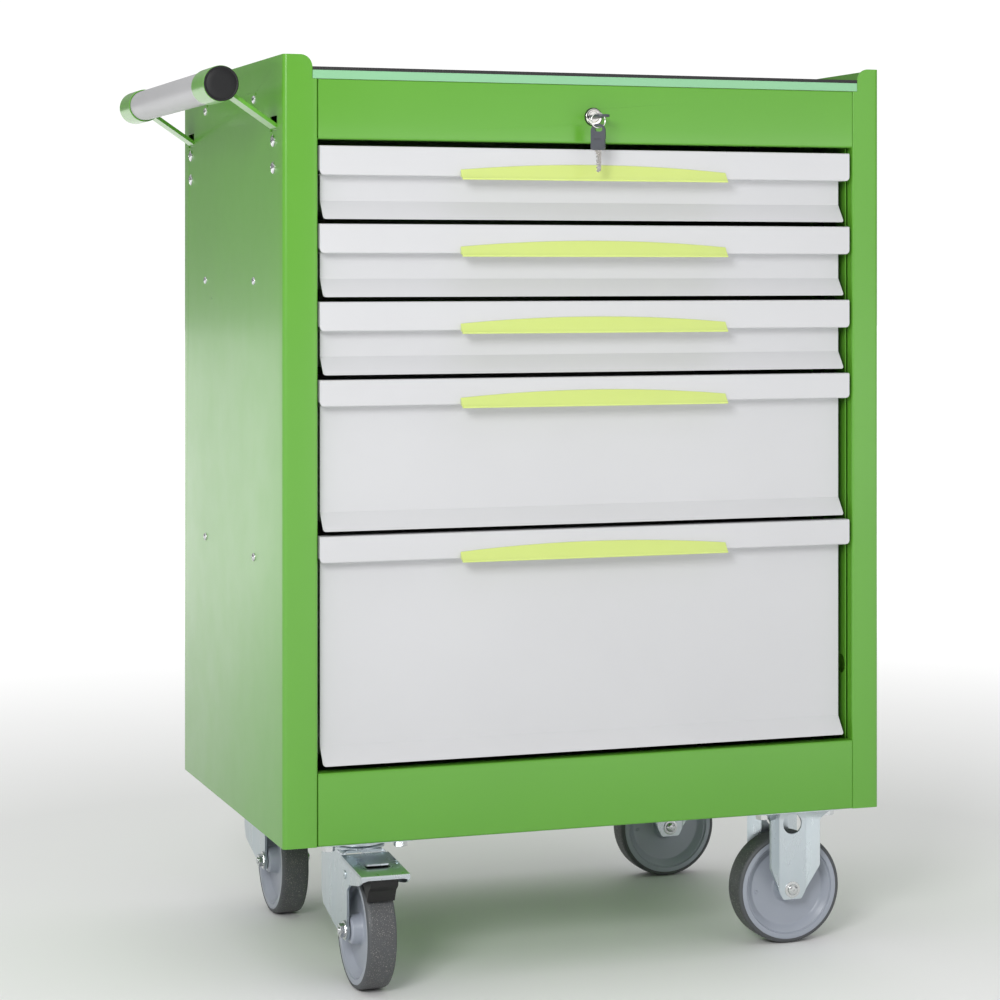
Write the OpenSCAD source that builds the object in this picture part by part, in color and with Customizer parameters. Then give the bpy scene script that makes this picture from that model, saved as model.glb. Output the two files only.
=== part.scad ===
// Tool cart: folded steel cabinet with five drawers, a push handle and four casters.
// The cabinet is drawn with its left side at X = 0, its front plane at Y = 0 and its lower
// edge at Z = 0, with X to the right and Y to the back. in_frame() moves every sub-part so
// that the origin is on the floor, under the middle of the cart.

/* [Cabinet] */
// Width over the two side panels
body_w = 690; // [650:5:760]
// Depth from the front plane to the back edge of the side panels
body_d = 481; // [470:1:520]
// Height of one drawer module
module_h = 82; // [78:1:90]
// Height of the base front rail
base_rail_h = 77; // [70:1:90]
// Height of the top front rail that carries the lock
top_rail_h = 63.3; // [60:0.1:80]
// Height of the side panels above the top front rail
rim_h = 25.2; // [22:0.1:32]
// Visible width of the left front stile
stile_left_w = 37.6; // [36:0.1:38]
// Visible width of the right front stile
stile_w = 32.6; // [31:0.1:33]

/* [Drawers] */
// Gap between two drawer fronts
drawer_gap = 5; // [4:0.5:8]
// Height of the folded lip at the top of each drawer front
lip_h = 31; // [28:1:34]
// Length of the drawer box
tray_len = 400; // [380:5:410]
// Length of a pull strip
pull_len = 307; // [250:1:340]

/* [Handle] */
// Distance of the handle axis from the left side panel
handle_out = 62; // [56:1:80]
// Outer diameter of the grip tube
grip_d = 34.8; // [32:0.2:35]

/* [Casters] */
// Height of a caster, from the floor to the cabinet
caster_h = 156; // [155:1:160]
// Wheel diameter
wheel_d = 125; // [118:1:125]
// Wheel width
wheel_w = 32; // [28:1:34]
// Distance of the caster centres from the sides of the cabinet
caster_inset_x = 93.5; // [85:0.5:110]
// Distance of the front caster centres from the front plane
caster_front_y = 57; // [50:1:70]
// Distance of the rear caster centres from the front plane
caster_rear_y = 413; // [380:1:415]

/* [Hidden] */
eps = 0.01;
sheet = 1.5;          // cabinet sheet steel
drawer_sheet = 1.2;   // drawer sheet steel
bend_steps = 6;       // facets in one sheet bend
round_fn = 48;

// Cabinet heights
units = [1, 1, 1, 2, 3];
opening_clear_top = 6.5;
opening_clear_bottom = 7;
opening_h = 8 * module_h - drawer_gap + opening_clear_top + opening_clear_bottom;
opening_top = base_rail_h + opening_h;
rail_top = opening_top + top_rail_h;
body_h = rail_top + rim_h;
mat_t = 3.5;
board_t = 9.3;
board_top = rail_top + board_t;
mat_top = board_top + mat_t;

// Stiles
stile_return = 13;
stile_step = 6;           // the stiles are this much narrower beside the worktop
rim_round = 13;
outer_bend = 5 - sheet / 2;
inner_bend = 1.8;
rear_flange = 25;
seam = 0.3;
rail_return = 18;
rail_x = [stile_left_w + seam, body_w - stile_w - seam];
trim_x = [stile_left_w - stile_step + seam, body_w - stile_w + stile_step - seam];
inner_x = 35;             // inner face of the posts and liners, from each side of the cabinet

// Runner posts, numbered from the front
post_w = 40;
post_y = [107, 343];
post_z = [30, rail_top - 12];
liner_y = [stile_return + 0.6, 40];
liner_hole_d = 21;
liner_hole_z = 160;

// Drawer fronts
front_y = -2;             // front of the lip
flare_y = 0;              // front of the flared bottom edge
recess_y = 14;            // recessed face under the lip
flare_h = 19;
lip_x = [stile_left_w + 1.6, body_w - stile_w - 4.8];
recess_in = 43.5;         // recessed face, in from each side of the cabinet
recess_x = [recess_in, body_w - recess_in];
lip_corner = 5;
flare_corner = 3;
runner_w = 12.7;
tray_x = inner_x + runner_w;
tray_y = recess_y + drawer_sheet;
tray_sheet = 1;
function units_above(i) = i == 0 ? 0 : units[i - 1] + units_above(i - 1);
function drawer_top(i) = opening_top - opening_clear_top - units_above(i) * module_h;
function drawer_h(i) = units[i] * module_h - drawer_gap;
function drawer_bottom(i) = drawer_top(i) - drawer_h(i);
function lip_height(i) = units[i] > 1 ? lip_h - 3 : lip_h;
tray_drop = 10;           // tray rim below the top of the front
tray_rise = 8;            // tray floor above the bottom of the front
function runner_z(i) = drawer_bottom(i) + 34;

// Runner sections: half height, inner and outer X of each member
member_t = 1.2;
outer_member = [17.5, 0, 10.4];
middle_member = [13, 3.4, 9.8];
inner_member = [9, 6.3, runner_w];
runner_y = 42;
middle_len = tray_len - 10;
inner_len = tray_y + tray_len - runner_y - 2;

// Pull strips
pull_drop = 3.5;
pull_end_h = 11;
pull_mid_h = 17.7;
pull_out = 8.5;
pull_gap = 0.05;

// Lock
lock_x = body_w / 2 + 1;
lock_z = opening_top + 28.8;
barrel_r = 8;
barrel_face_r = 9.3;
plug_r = 5.9;
plug_clear = 0.05;
lock_face_y = -2.5;
barrel_len = 24;

// Keys, and the ring that joins them
bow_y = [-34, -5.5];      // bow of the key in the lock: outer end and shoulder
bow_len = bow_y[1] - bow_y[0];
bow_w = 16.5;
bow_t = 2.6;
bow_hole = [8.4, 5.6];
bow_hole_shift = 0.8;
bow_bridge = 3;           // from the hole to the round end
blade_w = 6.5;
blade_t = 1.8;
blade_len = 24;
ring_r = 8;
ring_wire = 0.7;
ring_at = [-5.2, -5.2];   // ring centre, across and up from the lock axis
ring_y = bow_y[0] + bow_bridge + bow_hole[1] / 2 - 0.2;
spare_turn = -41;         // turn of the spare key on the ring

// Handle
handle_z = body_h - 31.5;
collar_r = 19;
collar_len = 58;
collar_y = [17, 412];
cap_t = 1.5;
cap_plug = 10;
arm_w = 28;
arm_t = 4;
arm_y = [41, 441];
arm_slot_z = body_h - 76;
handle_bolt_z = [body_h - 89, body_h - 117.5];
handle_bolt_r = 3.9;

// Side panel screws
screw_z = [body_h - 40.5, body_h - 237.5, body_h - 537.5];
screw_y = [127, 363];
screw_r = 2.4;

// Casters
plate_t = 3.5;
plate_x = 105;
plate_y = 85;
plate_corner = 8;
bolt_x = 80;
bolt_y = 60;
bolt_r = 3.9;
bolt_hole_r = 4.5;
trail = 38;
axle_z = -caster_h + wheel_d / 2;
axle_r = 6;
axle_clear = 0.05;
fork_t = 2.5;
fork_in = 21.5;
fork_out = fork_in + fork_t;
hub_r = wheel_d / 2 - 5;
hub_half = 20;
race_r = 31;
race_z = -8.7;
race_gap = 0.3;
crown_z = -12;
pin_head_z = crown_z - fork_t - race_gap;
leg_half = 33;
leg_taper_z = -66;
swivel_x = caster_inset_x + 2.5;
fixed_x = body_w - caster_inset_x + 2.5;
caster_y = [caster_front_y, caster_rear_y];

// Brake pedal, measured from the swivel axis, forwards along -Y
pedal_t = 2;
pedal_pivot_y = -46;
pedal_pivot_z = -33;
pedal_pin_r = 3;
pedal_back_y = -34;
pedal_tip_y = -112;
pedal_back_z = -16;
pedal_tip_z = -22.5;

// Frame: floor under the middle of the cart
screw_head_t = 2.5;
frame_x0 = -handle_out - collar_r;
frame_x1 = body_w + screw_head_t;
frame_y0 = caster_front_y + pedal_tip_y - pedal_t;
frame_y1 = body_d;

body_green = "#6EB43E";
drawer_grey = "#D9DADC";
pull_green = "#D8E888";
mint = "#8ACCA0";
zinc = "#C2C8CA";
black = "#1C1D20";
hub_grey = "#80838C";
tyre_grey = "#46484D";

// ---------------------------------------------------------------- helpers

module in_frame() {
  translate([-(frame_x0 + frame_x1) / 2, -(frame_y0 + frame_y1) / 2, caster_h]) children();
}

module mirrored_x(plane) {
  children();
  translate([2 * plane, 0, 0]) mirror([1, 0, 0]) children();
}

// Draws an XZ outline and gives it a thickness along Y, from y0 to y1
module along_y(y0, y1) {
  translate([0, y1, 0]) rotate([90, 0, 0]) linear_extrude(y1 - y0) children();
}

// Draws a YZ outline and gives it a thickness along X, from x0 to x1
module along_x(x0, x1) {
  translate([x0, 0, 0]) rotate([90, 0, 90]) linear_extrude(x1 - x0) children();
}

module along_z(z0, z1) {
  translate([0, 0, z0]) linear_extrude(z1 - z0) children();
}

module block(low, high) {
  translate(low) cube(high - low);
}

module rod_x(x0, x1, r) {
  translate([x0, 0, 0]) rotate([0, 90, 0]) cylinder(h = x1 - x0, r = r, $fn = round_fn);
}

module rod_y(y0, y1, r) {
  translate([0, y1, 0]) rotate([90, 0, 0]) cylinder(h = y1 - y0, r = r, $fn = round_fn);
}

module hexagon(across_flats) {
  circle(d = across_flats / cos(30), $fn = 6);
}

// A folded sheet: a centre line with a bend radius at every corner, thickened to t
function unit(v) = v / norm(v);
function turn(a, b) = let (d = b - a) d > 180 ? d - 360 : d < -180 ? d + 360 : d;
function bend(a, p, b, r) =
  let (u = unit(a - p), v = unit(b - p),
       half = acos(max(-1, min(1, u * v))) / 2,
       reach = r / tan(half),
       centre = p + unit(u + v) * r / sin(half),
       s = p + u * reach - centre,
       e = p + v * reach - centre,
       a0 = atan2(s[1], s[0]),
       sweep = turn(a0, atan2(e[1], e[0])))
  [for (i = [0 : bend_steps]) let (q = a0 + sweep * i / bend_steps) centre + r * [cos(q), sin(q)]];
function centre_line(p, r) =
  [for (i = [0 : len(p) - 1])
    each (i == 0 || i == len(p) - 1 || r[i] == 0 ? [p[i]] : bend(p[i - 1], p[i], p[i + 1], r[i]))];
function left_of(v) = [-v[1], v[0]];
function edge_normal(c, i) = left_of(unit(c[min(i + 1, len(c) - 1)] - c[min(i, len(c) - 2)]));
function miter(c, i) =
  let (n0 = edge_normal(c, max(i - 1, 0)), n1 = edge_normal(c, i), m = unit(n0 + n1))
  i == 0 ? n1 : i == len(c) - 1 ? n0 : m / (m * n0);
module folded(p, r, t) {
  c = centre_line(p, r);
  last = len(c) - 1;
  polygon(concat([for (i = [0 : last]) c[i] + miter(c, i) * t / 2],
                 [for (i = [last : -1 : 0]) c[i] - miter(c, i) * t / 2]));
}

module rounded_rect(w, h, r) {
  difference() {
    square([w, h], center = true);
    for (sx = [-1, 1])
      for (sy = [-1, 1])
        translate([sx * (w / 2 - r), sy * (h / 2 - r)])
          difference() {
            translate([sx > 0 ? 0 : -r - 1, sy > 0 ? 0 : -r - 1]) square(r + 1);
            circle(r = r, $fn = round_fn);
          }
  }
}

// ---------------------------------------------------------------- cabinet

// A side panel with a stile of width w along its front
module side_sheet(w) {
  h = sheet / 2;
  upper_w = w - stile_step;
  difference() {
    along_z(0, body_h)
      folded([[w - h, stile_return], [w - h, h], [h, h], [h, body_d - h], [rear_flange, body_d - h]],
             [0, inner_bend, outer_bend, outer_bend, 0], sheet);
    // the stile is narrower and round-cornered beside the worktop
    along_y(-1, stile_return + 1)
      difference() {
        translate([upper_w - rim_round, rail_top]) square([rim_round + stile_step + 4, rim_h + 1]);
        translate([upper_w - rim_round, body_h - rim_round]) circle(r = rim_round, $fn = round_fn);
        translate([upper_w - rim_round - eps, rail_top - 1])
          square([rim_round + eps, rim_h + 1 - rim_round]);
      }
    // screw holes for the posts
    for (y = screw_y)
      for (z = screw_z)
        translate([0, y, z]) rod_x(-1, sheet + 1, screw_r + 0.3);
    // pilot holes beside the upper screws
    for (y = screw_y)
      translate([0, y - 8, screw_z[0] + 6]) rod_x(-1, sheet + 1, 2);
  }
}

module left_side_panel() {
  color(body_green) in_frame()
    difference() {
      side_sheet(stile_left_w);
      for (y = arm_y) {
        block([-1, y - arm_w / 2 - 0.6, arm_slot_z - 3], [sheet + 1, y + arm_w / 2 + 0.6, arm_slot_z + 13]);
        for (z = handle_bolt_z)
          translate([0, y, z]) rod_x(-1, sheet + 1, handle_bolt_r + 0.3);
        translate([0, y + (y < body_d / 2 ? 10 : 12), arm_slot_z - 6.5]) rod_x(-1, sheet + 1, 1.8);
      }
    }
}

module right_side_panel() {
  color(body_green) in_frame()
    translate([body_w, 0, 0]) mirror([1, 0, 0]) side_sheet(stile_w);
}

module back_panel() {
  y1 = body_d - sheet;
  hem = 9;
  x0 = outer_bend + sheet / 2 + 0.1;
  color(body_green) in_frame() {
    block([x0, y1 - sheet, 0], [body_w - x0, y1, body_h]);
    block([rear_flange + 4, y1, body_h - hem], [body_w - rear_flange - 4, y1 + sheet, body_h]);
  }
}

module floor_panel() {
  lip = 16;
  x0 = sheet + 0.5;
  x1 = body_w - x0;
  y0 = rail_return + 0.5;
  y1 = body_d - 2 * sheet - 0.2;
  color(body_green) in_frame()
    difference() {
      union() {
        block([x0, y0, 0], [x1, y1, sheet]);
        block([x0, y0, 0], [x0 + sheet, y1, lip]);
        block([x1 - sheet, y0, 0], [x1, y1, lip]);
        block([x0, y1 - sheet, 0], [x1, y1, lip]);
      }
      for (cx = [swivel_x, fixed_x])
        for (cy = caster_y)
          caster_bolt_places(cx, cy) cylinder(h = 10, r = bolt_hole_r, center = true, $fn = round_fn);
    }
}

module rail_ends(z0, z1) {
  for (x = [rail_x[0], rail_x[1] - sheet])
    block([x, sheet, z0], [x + sheet, 12, z1]);
}

module base_front_rail() {
  h = sheet / 2;
  color(body_green) in_frame() {
    along_x(rail_x[0], rail_x[1])
      folded([[rail_return, base_rail_h - h], [h, base_rail_h - h], [h, h], [rail_return, h]],
             [0, inner_bend, inner_bend, 0], sheet);
    rail_ends(4, base_rail_h - 4);
  }
}

module top_front_rail() {
  h = sheet / 2;
  color(body_green) in_frame()
    difference() {
      union() {
        along_x(rail_x[0], rail_x[1])
          folded([[rail_return - 5, rail_top - h], [h, rail_top - h], [h, opening_top + h],
                  [rail_return, opening_top + h]],
                 [0, 0.8, inner_bend, 0], sheet);
        rail_ends(opening_top + 4, rail_top - 4);
      }
      translate([lock_x, 0, lock_z]) rod_y(-1, sheet + 1, barrel_r + 0.1);
    }
}

// A plate that fills the tray from side to side, with corners that clear the bent panels
module tray_plate(side_gap, z0, z1) {
  y0 = sheet + 0.2;
  y1 = body_d - 2 * sheet - 0.2;
  along_z(z0, z1)
    translate([body_w / 2, (y0 + y1) / 2])
      rounded_rect(body_w - 2 * (sheet + side_gap), y1 - y0, 4);
}

module worktop_board() {
  color("#9DB08A") in_frame() tray_plate(0.5, rail_top, board_top);
}

module worktop_edge_trim() {
  color(mint) in_frame()
    block([trim_x[0], 0, rail_top + 0.2], [trim_x[1], sheet + 0.2, board_top]);
}

module worktop_mat() {
  color(black) in_frame() {
    tray_plate(0.8, board_top, mat_top);
    block([trim_x[0], 0, board_top], [trim_x[1], sheet + 1, mat_top]);
  }
}

// Four uprights that carry the runners, and the two liners behind the stiles
module runner_posts() {
  h = sheet / 2;
  foot = 12;
  color(body_green) in_frame()
    mirrored_x(body_w / 2) {
      for (y = post_y)
        difference() {
          along_z(post_z[0], post_z[1])
            folded([[sheet + h + foot, y + 4 + h], [sheet + h, y + 4 + h], [sheet + h, y + post_w / 2 + 14],
                    [inner_x - h, y + post_w / 2 + 14], [inner_x - h, y - 8]],
                   [0, 1, 1, 1, 0], sheet);
          for (z = screw_z)
            translate([0, y + post_w / 2, z]) rod_x(0, 2 * sheet + 1, screw_r + 0.3);
        }
      difference() {
        along_z(base_rail_h + 0.5, opening_top - 0.5)
          folded([[inner_x - sheet - h - 11, liner_y[1] - h], [inner_x - h, liner_y[1] - h],
                  [inner_x - h, liner_y[0]]],
                 [0, 1, 0], sheet);
        translate([0, liner_y[0] + 11.5, liner_hole_z]) rod_x(inner_x - 4, inner_x + 4, liner_hole_d / 2);
      }
    }
}

// ---------------------------------------------------------------- runners

// A channel section seen from the front: half height, web side and lip side
module channel(half, x0, x1, web_at_x0) {
  difference() {
    translate([x0, -half]) square([x1 - x0, 2 * half]);
    translate([web_at_x0 ? x0 + member_t : x0 - 1, -half + member_t])
      square([x1 - x0 - member_t + 1, 2 * (half - member_t)]);
  }
}

module member_pair(i, member, y0, y1, web_at_x0) {
  mirrored_x(body_w / 2)
    translate([inner_x, 0, runner_z(i)])
      along_y(y0, y1) channel(member[0], member[1], member[2], web_at_x0);
}

module cabinet_runners() {
  color(zinc) in_frame()
    for (i = [0 : 4]) member_pair(i, outer_member, runner_y, runner_y + tray_len, true);
}

module runner_middle(i) {
  color(zinc) in_frame() member_pair(i, middle_member, runner_y + 3, runner_y + 3 + middle_len, true);
}

module drawer_slide(i) {
  color(zinc) in_frame() member_pair(i, inner_member, runner_y, runner_y + inner_len, false);
}

// ---------------------------------------------------------------- drawers

module drawer_box(i) {
  h = drawer_sheet / 2;
  top = drawer_top(i);
  bottom = drawer_bottom(i);
  lip = lip_height(i);
  x0 = lip_x[0];
  x1 = lip_x[1];
  t = tray_sheet;
  tray_z0 = bottom + tray_rise;
  tray_z1 = top - tray_drop;
  tray_y1 = tray_y + tray_len;
  color(drawer_grey) in_frame() {
    // hollow lip, with round lower corners
    difference() {
      along_x(x0, x1)
        folded([[recess_y - eps, top - h], [front_y + h, top - h], [front_y + h, top - lip + h],
                [recess_y - eps, top - lip + h]],
               [0, 1.2, 1.2, 0], drawer_sheet);
      for (side = [0, 1])
        along_y(front_y - 1, recess_y + 1)
          translate([side == 0 ? x0 : x1, top - lip]) mirror([side, 0])
            difference() {
              translate([-1, -1]) square([lip_corner + 1, lip_corner + 1]);
              translate([lip_corner, lip_corner]) circle(r = lip_corner, $fn = round_fn);
            }
    }
    for (x = [x0, x1 - drawer_sheet])
      block([x, front_y + 2 * h, top - lip + lip_corner], [x + drawer_sheet, recess_y, top - 2 * h]);
    // recessed face and flared bottom edge, with round lower corners
    difference() {
      along_x(recess_x[0], recess_x[1])
        folded([[recess_y + h, top - h], [recess_y + h, bottom + flare_h], [flare_y + h, bottom + 0.6],
                [flare_y + h + 5, bottom + 0.6]],
               [0, 2, 0, 0], drawer_sheet);
      for (side = [0, 1])
        along_y(flare_y - 1, flare_y + h + 6)
          translate([recess_x[side], bottom]) mirror([side, 0])
            difference() {
              translate([-1, -1]) square([flare_corner + 1, flare_corner + 1]);
              translate([flare_corner, flare_corner]) circle(r = flare_corner, $fn = round_fn);
            }
    }
    block([x0, recess_y, top - 2 * h], [x1, recess_y + 2 * h, top]);
    // tray
    block([tray_x, tray_y, tray_z0], [body_w - tray_x, tray_y1, tray_z0 + t]);
    for (x = [tray_x, body_w - tray_x - t])
      block([x, tray_y, tray_z0], [x + t, tray_y1, tray_z1]);
    block([tray_x, tray_y1 - t, tray_z0], [body_w - tray_x, tray_y1, tray_z1]);
    // inward hems along the tray rim
    for (x = [tray_x, body_w - tray_x - 6])
      block([x, tray_y, tray_z1 - t], [x + 6, tray_y1, tray_z1]);
  }
}

module drawer_pull(i) {
  zb = drawer_top(i) - lip_height(i) - pull_drop;
  rise = pull_mid_h - pull_end_h;
  arc_r = (pow(pull_len / 2, 2) + rise * rise) / (2 * rise);
  y0 = front_y - pull_gap;
  xc = body_w / 2 + 2.5;
  color(pull_green) in_frame()
    intersection() {
      along_x(xc - pull_len / 2, xc + pull_len / 2)
        polygon([[y0 - pull_out, zb], [y0 - pull_out, zb + 1.6], [y0 - pull_out + 0.8, zb + 3],
                 [y0 - 1, zb + pull_mid_h], [y0, zb + pull_mid_h], [y0, zb + 3], [y0 - 5, zb + 1.6],
                 [y0 - 6.5, zb]]);
      along_y(y0 - 2 * pull_out, y0 + 1)
        translate([xc, zb + pull_mid_h - arc_r]) circle(r = arc_r, $fn = 720);
    }
}

// ---------------------------------------------------------------- lock

module lock_barrel() {
  color("#D6D2C8") in_frame()
    translate([lock_x, 0, lock_z])
      difference() {
        union() {
          rod_y(lock_face_y, 0, barrel_face_r);
          rod_y(-eps, barrel_len, barrel_r);
          // nut behind the rail
          along_y(sheet + 0.3, sheet + 4.3) hexagon(20);
        }
        rod_y(lock_face_y - 1, barrel_len + 1, plug_r + plug_clear);
      }
}

module lock_plug() {
  cam_y = barrel_len + 0.3;
  cam_len = 32;
  cam_t = 2;
  color("#CFCBC2") in_frame()
    translate([lock_x, 0, lock_z]) {
      difference() {
        rod_y(lock_face_y - 0.4, cam_y, plug_r);
        block([-blade_w / 2 - 0.1, lock_face_y - 1, -blade_t / 2 - 0.1],
              [blade_w / 2 - 0.6, barrel_len - 6, blade_t / 2 + 0.1]);
      }
      along_y(cam_y, cam_y + cam_t)
        union() {
          circle(r = 7.5, $fn = round_fn);
          translate([-cam_len, -5.5]) square([cam_len, 11]);
        }
      rod_y(cam_y + cam_t - eps, cam_y + cam_t + 3, 4);
    }
}

// Outline of a key bow that points to +Y, with its ring hole at the round end
module bow_outline() {
  difference() {
    union() {
      translate([-bow_w / 2, bow_w * 0.1]) square([bow_w, bow_len - bow_w * 0.6]);
      translate([-bow_w * 0.36, 0]) square([bow_w * 0.72, bow_len * 0.3]);
      translate([0, bow_len - bow_w / 2]) circle(r = bow_w / 2, $fn = round_fn);
    }
    translate([bow_hole_shift, bow_len - bow_bridge - bow_hole[1] / 2])
      rounded_rect(bow_hole[0], bow_hole[1], bow_hole[1] / 2 - 0.1);
  }
}

module key_blade() {
  places = [0.22, 0.38, 0.55, 0.7, 0.85];
  depths = [1.4, 2.2, 1, 1.9, 1.5];
  edge = blade_w / 2 - 0.8;
  shoulder = blade_len - 2;
  difference() {
    union() {
      translate([-blade_w / 2, 0]) square([blade_w / 2 + edge, shoulder]);
      polygon([[-blade_w / 2, shoulder - 0.1], [edge, shoulder - 0.1], [0, blade_len]]);
    }
    for (k = [0 : len(places) - 1])
      translate([edge, places[k] * blade_len])
        polygon([[0.1, -1.6], [0.1, 1.6], [-depths[k], 0.5], [-depths[k], -0.5]]);
  }
}

module lock_key() {
  blade_root = 3;           // length of blade inside the bow
  color("#3C4048") in_frame()
    translate([lock_x, bow_y[1], lock_z]) {
      translate([0, 0, -bow_t / 2]) mirror([0, 1, 0]) linear_extrude(bow_t) bow_outline();
      translate([0, -blade_root, -blade_t / 2]) linear_extrude(blade_t) key_blade();
    }
}

module key_ring() {
  color(zinc) in_frame()
    translate([lock_x + ring_at[0], ring_y, lock_z + ring_at[1]])
      rotate([90, 0, 0])
        rotate_extrude($fn = round_fn) translate([ring_r, 0]) circle(r = ring_wire, $fn = 16);
}

// The spare key's bow. Its foot and its blade are left out, because they hang in front of
// drawer 1, which pushes them aside when it opens.
module spare_key() {
  rest_gap = 0.8;           // clears the curve of the ring beside the bow
  bow_top = lock_z + ring_at[1] - ring_r + ring_wire + rest_gap + bow_bridge;
  cut_z = drawer_top(0) + 0.6;
  color("#3C4048") in_frame()
    translate([lock_x + ring_at[0], ring_y, 0]) rotate([0, 0, spare_turn])
      difference() {
        translate([0, 0, bow_top - bow_len]) along_y(-bow_t / 2, bow_t / 2) bow_outline();
        block([-bow_w, -bow_w, cut_z - bow_len], [bow_w, bow_w, cut_z]);
      }
}

// ---------------------------------------------------------------- handle

module handle_arms() {
  h = sheet + arm_t / 2;
  foot_z = handle_bolt_z[1] - 14;
  toward = unit([-handle_out - h, handle_z - arm_slot_z]);
  reach = norm([-handle_out - h, handle_z - arm_slot_z]) - collar_r + 0.4;
  tip = [h, arm_slot_z] + toward * reach;
  color(body_green) in_frame()
    for (y = arm_y)
      difference() {
        along_y(y - arm_w / 2, y + arm_w / 2)
          folded([[h, foot_z], [h, arm_slot_z], tip], [0, 3, 0], arm_t);
        for (z = handle_bolt_z)
          translate([0, y, z]) rod_x(0, sheet + arm_t + 1, handle_bolt_r + 0.3);
      }
}

module handle_collars() {
  color(body_green) in_frame()
    translate([-handle_out, 0, handle_z])
      for (y = collar_y)
        difference() {
          rod_y(y, y + collar_len, collar_r);
          rod_y(y - 1, y + collar_len + 1, grip_d / 2 + 0.1);
        }
}

module handle_grip() {
  overlap = 25;
  color("#C6C4C7") in_frame()
    translate([-handle_out, 0, handle_z])
      difference() {
        rod_y(collar_y[0] + collar_len - overlap, collar_y[1] + overlap, grip_d / 2);
        rod_y(0, body_d + 1, grip_d / 2 - 2);
      }
}

module handle_end_caps() {
  last_y = collar_y[1] + collar_len;
  color(black) in_frame()
    translate([-handle_out, 0, handle_z]) {
      rod_y(collar_y[0] - cap_t, collar_y[0], collar_r - 0.5);
      rod_y(collar_y[0] - eps, collar_y[0] + cap_plug, grip_d / 2);
      rod_y(last_y, last_y + cap_t, collar_r - 0.5);
      rod_y(last_y - cap_plug, last_y + eps, grip_d / 2);
    }
}

// A bolt along +X whose head is outside x = 0
module side_bolt(head_r, head_t, r, len) {
  difference() {
    union() {
      rod_x(-head_t, 0, head_r);
      rod_x(-eps, len, r);
    }
    translate([-head_t - eps, 0, 0])
      for (a = [0, 90])
        rotate([a, 0, 0]) block([0, -head_r * 0.6, -0.5], [head_t * 0.5, head_r * 0.6, 0.5]);
  }
}

module handle_bolts() {
  nut_t = 6;
  color(zinc) in_frame()
    for (y = arm_y)
      for (z = handle_bolt_z)
        translate([0, y, z]) {
          side_bolt(6.5, 3, handle_bolt_r, sheet + arm_t + nut_t + 1);
          translate([sheet + arm_t, 0, 0]) rotate([90, 0, 90])
            linear_extrude(nut_t) difference() {
              hexagon(13);
              circle(r = handle_bolt_r - 0.1, $fn = round_fn);
            }
        }
}

module panel_screws() {
  color(zinc) in_frame()
    mirrored_x(body_w / 2)
      for (y = screw_y)
        for (z = screw_z)
          translate([0, y, z]) side_bolt(4.4, screw_head_t, screw_r, 9);
}

// ---------------------------------------------------------------- casters

module caster_bolt_places(cx, cy) {
  for (sx = [-1, 1])
    for (sy = [-1, 1])
      translate([cx + sx * bolt_x / 2, cy + sy * bolt_y / 2, 0]) children();
}

module caster_plate() {
  difference() {
    along_z(-plate_t, 0) rounded_rect(plate_x, plate_y, plate_corner);
    caster_bolt_places(0, 0) cylinder(h = 3 * plate_t, r = bolt_hole_r, center = true, $fn = round_fn);
  }
}

module caster_bolts() {
  washer_t = 1.4;
  head_t = 5.3;
  nut_t = 6.5;
  color(zinc) in_frame()
    for (cx = [swivel_x, fixed_x])
      for (cy = caster_y)
        caster_bolt_places(cx, cy) {
          along_z(-plate_t - washer_t, -plate_t) circle(r = 7.6, $fn = round_fn);
          along_z(-plate_t - washer_t - head_t, -plate_t - washer_t + eps) hexagon(13);
          along_z(-plate_t - eps, sheet + nut_t + 2) circle(r = bolt_r, $fn = round_fn);
          along_z(sheet, sheet + nut_t) hexagon(13);
        }
}

module swivel_plates() {
  head_r = 9;
  color(zinc) in_frame()
    for (cy = caster_y)
      translate([swivel_x, cy, 0]) {
        caster_plate();
        along_z(race_z + 2, -plate_t + eps) circle(r = race_r, $fn = 96);
        along_z(race_z, race_z + 2 + eps) circle(r = race_r - 2, $fn = 96);
        along_z(pin_head_z - 3, race_z + eps) circle(r = axle_r, $fn = round_fn);
        along_z(pin_head_z - 3, pin_head_z) circle(r = head_r, $fn = round_fn);
      }
}

// Side outline of a swivel fork leg; first coordinate along Y, second along Z
module swivel_leg_outline() {
  tip_r = 11;
  ear = pedal_pivot_y - 8;
  difference() {
    union() {
      polygon([[-30, crown_z], [50, crown_z], [54, crown_z - 8], [56, -34], [56, -70], [49, -84],
               [-5, -99], [-trail + 3, axle_z - tip_r + 0.4], [-trail - 7, axle_z - 6], [-46, axle_z],
               [-46, -50], [ear, -44], [ear, -28], [-44, -21], [-33, -19]]);
      translate([-trail, axle_z]) circle(r = tip_r, $fn = round_fn);
    }
    translate([-trail, axle_z]) circle(r = axle_r + 0.1, $fn = round_fn);
    translate([pedal_pivot_y, pedal_pivot_z]) circle(r = pedal_pin_r + 0.1, $fn = round_fn);
  }
}

module swivel_fork(cy) {
  color(zinc) in_frame()
    translate([swivel_x, cy, 0]) {
      for (x = [-fork_out, fork_in])
        along_x(x, x + fork_t) swivel_leg_outline();
      // crown with the lower race
      difference() {
        union() {
          along_z(crown_z - fork_t, crown_z)
            translate([-fork_in - eps, -30]) square([2 * fork_in + 2 * eps, 80]);
          along_z(crown_z - eps, race_z - race_gap) circle(r = race_r - 1, $fn = 96);
        }
        along_z(crown_z - fork_t - 1, crown_z + 10) circle(r = axle_r + axle_clear, $fn = round_fn);
      }
    }
}

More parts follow.
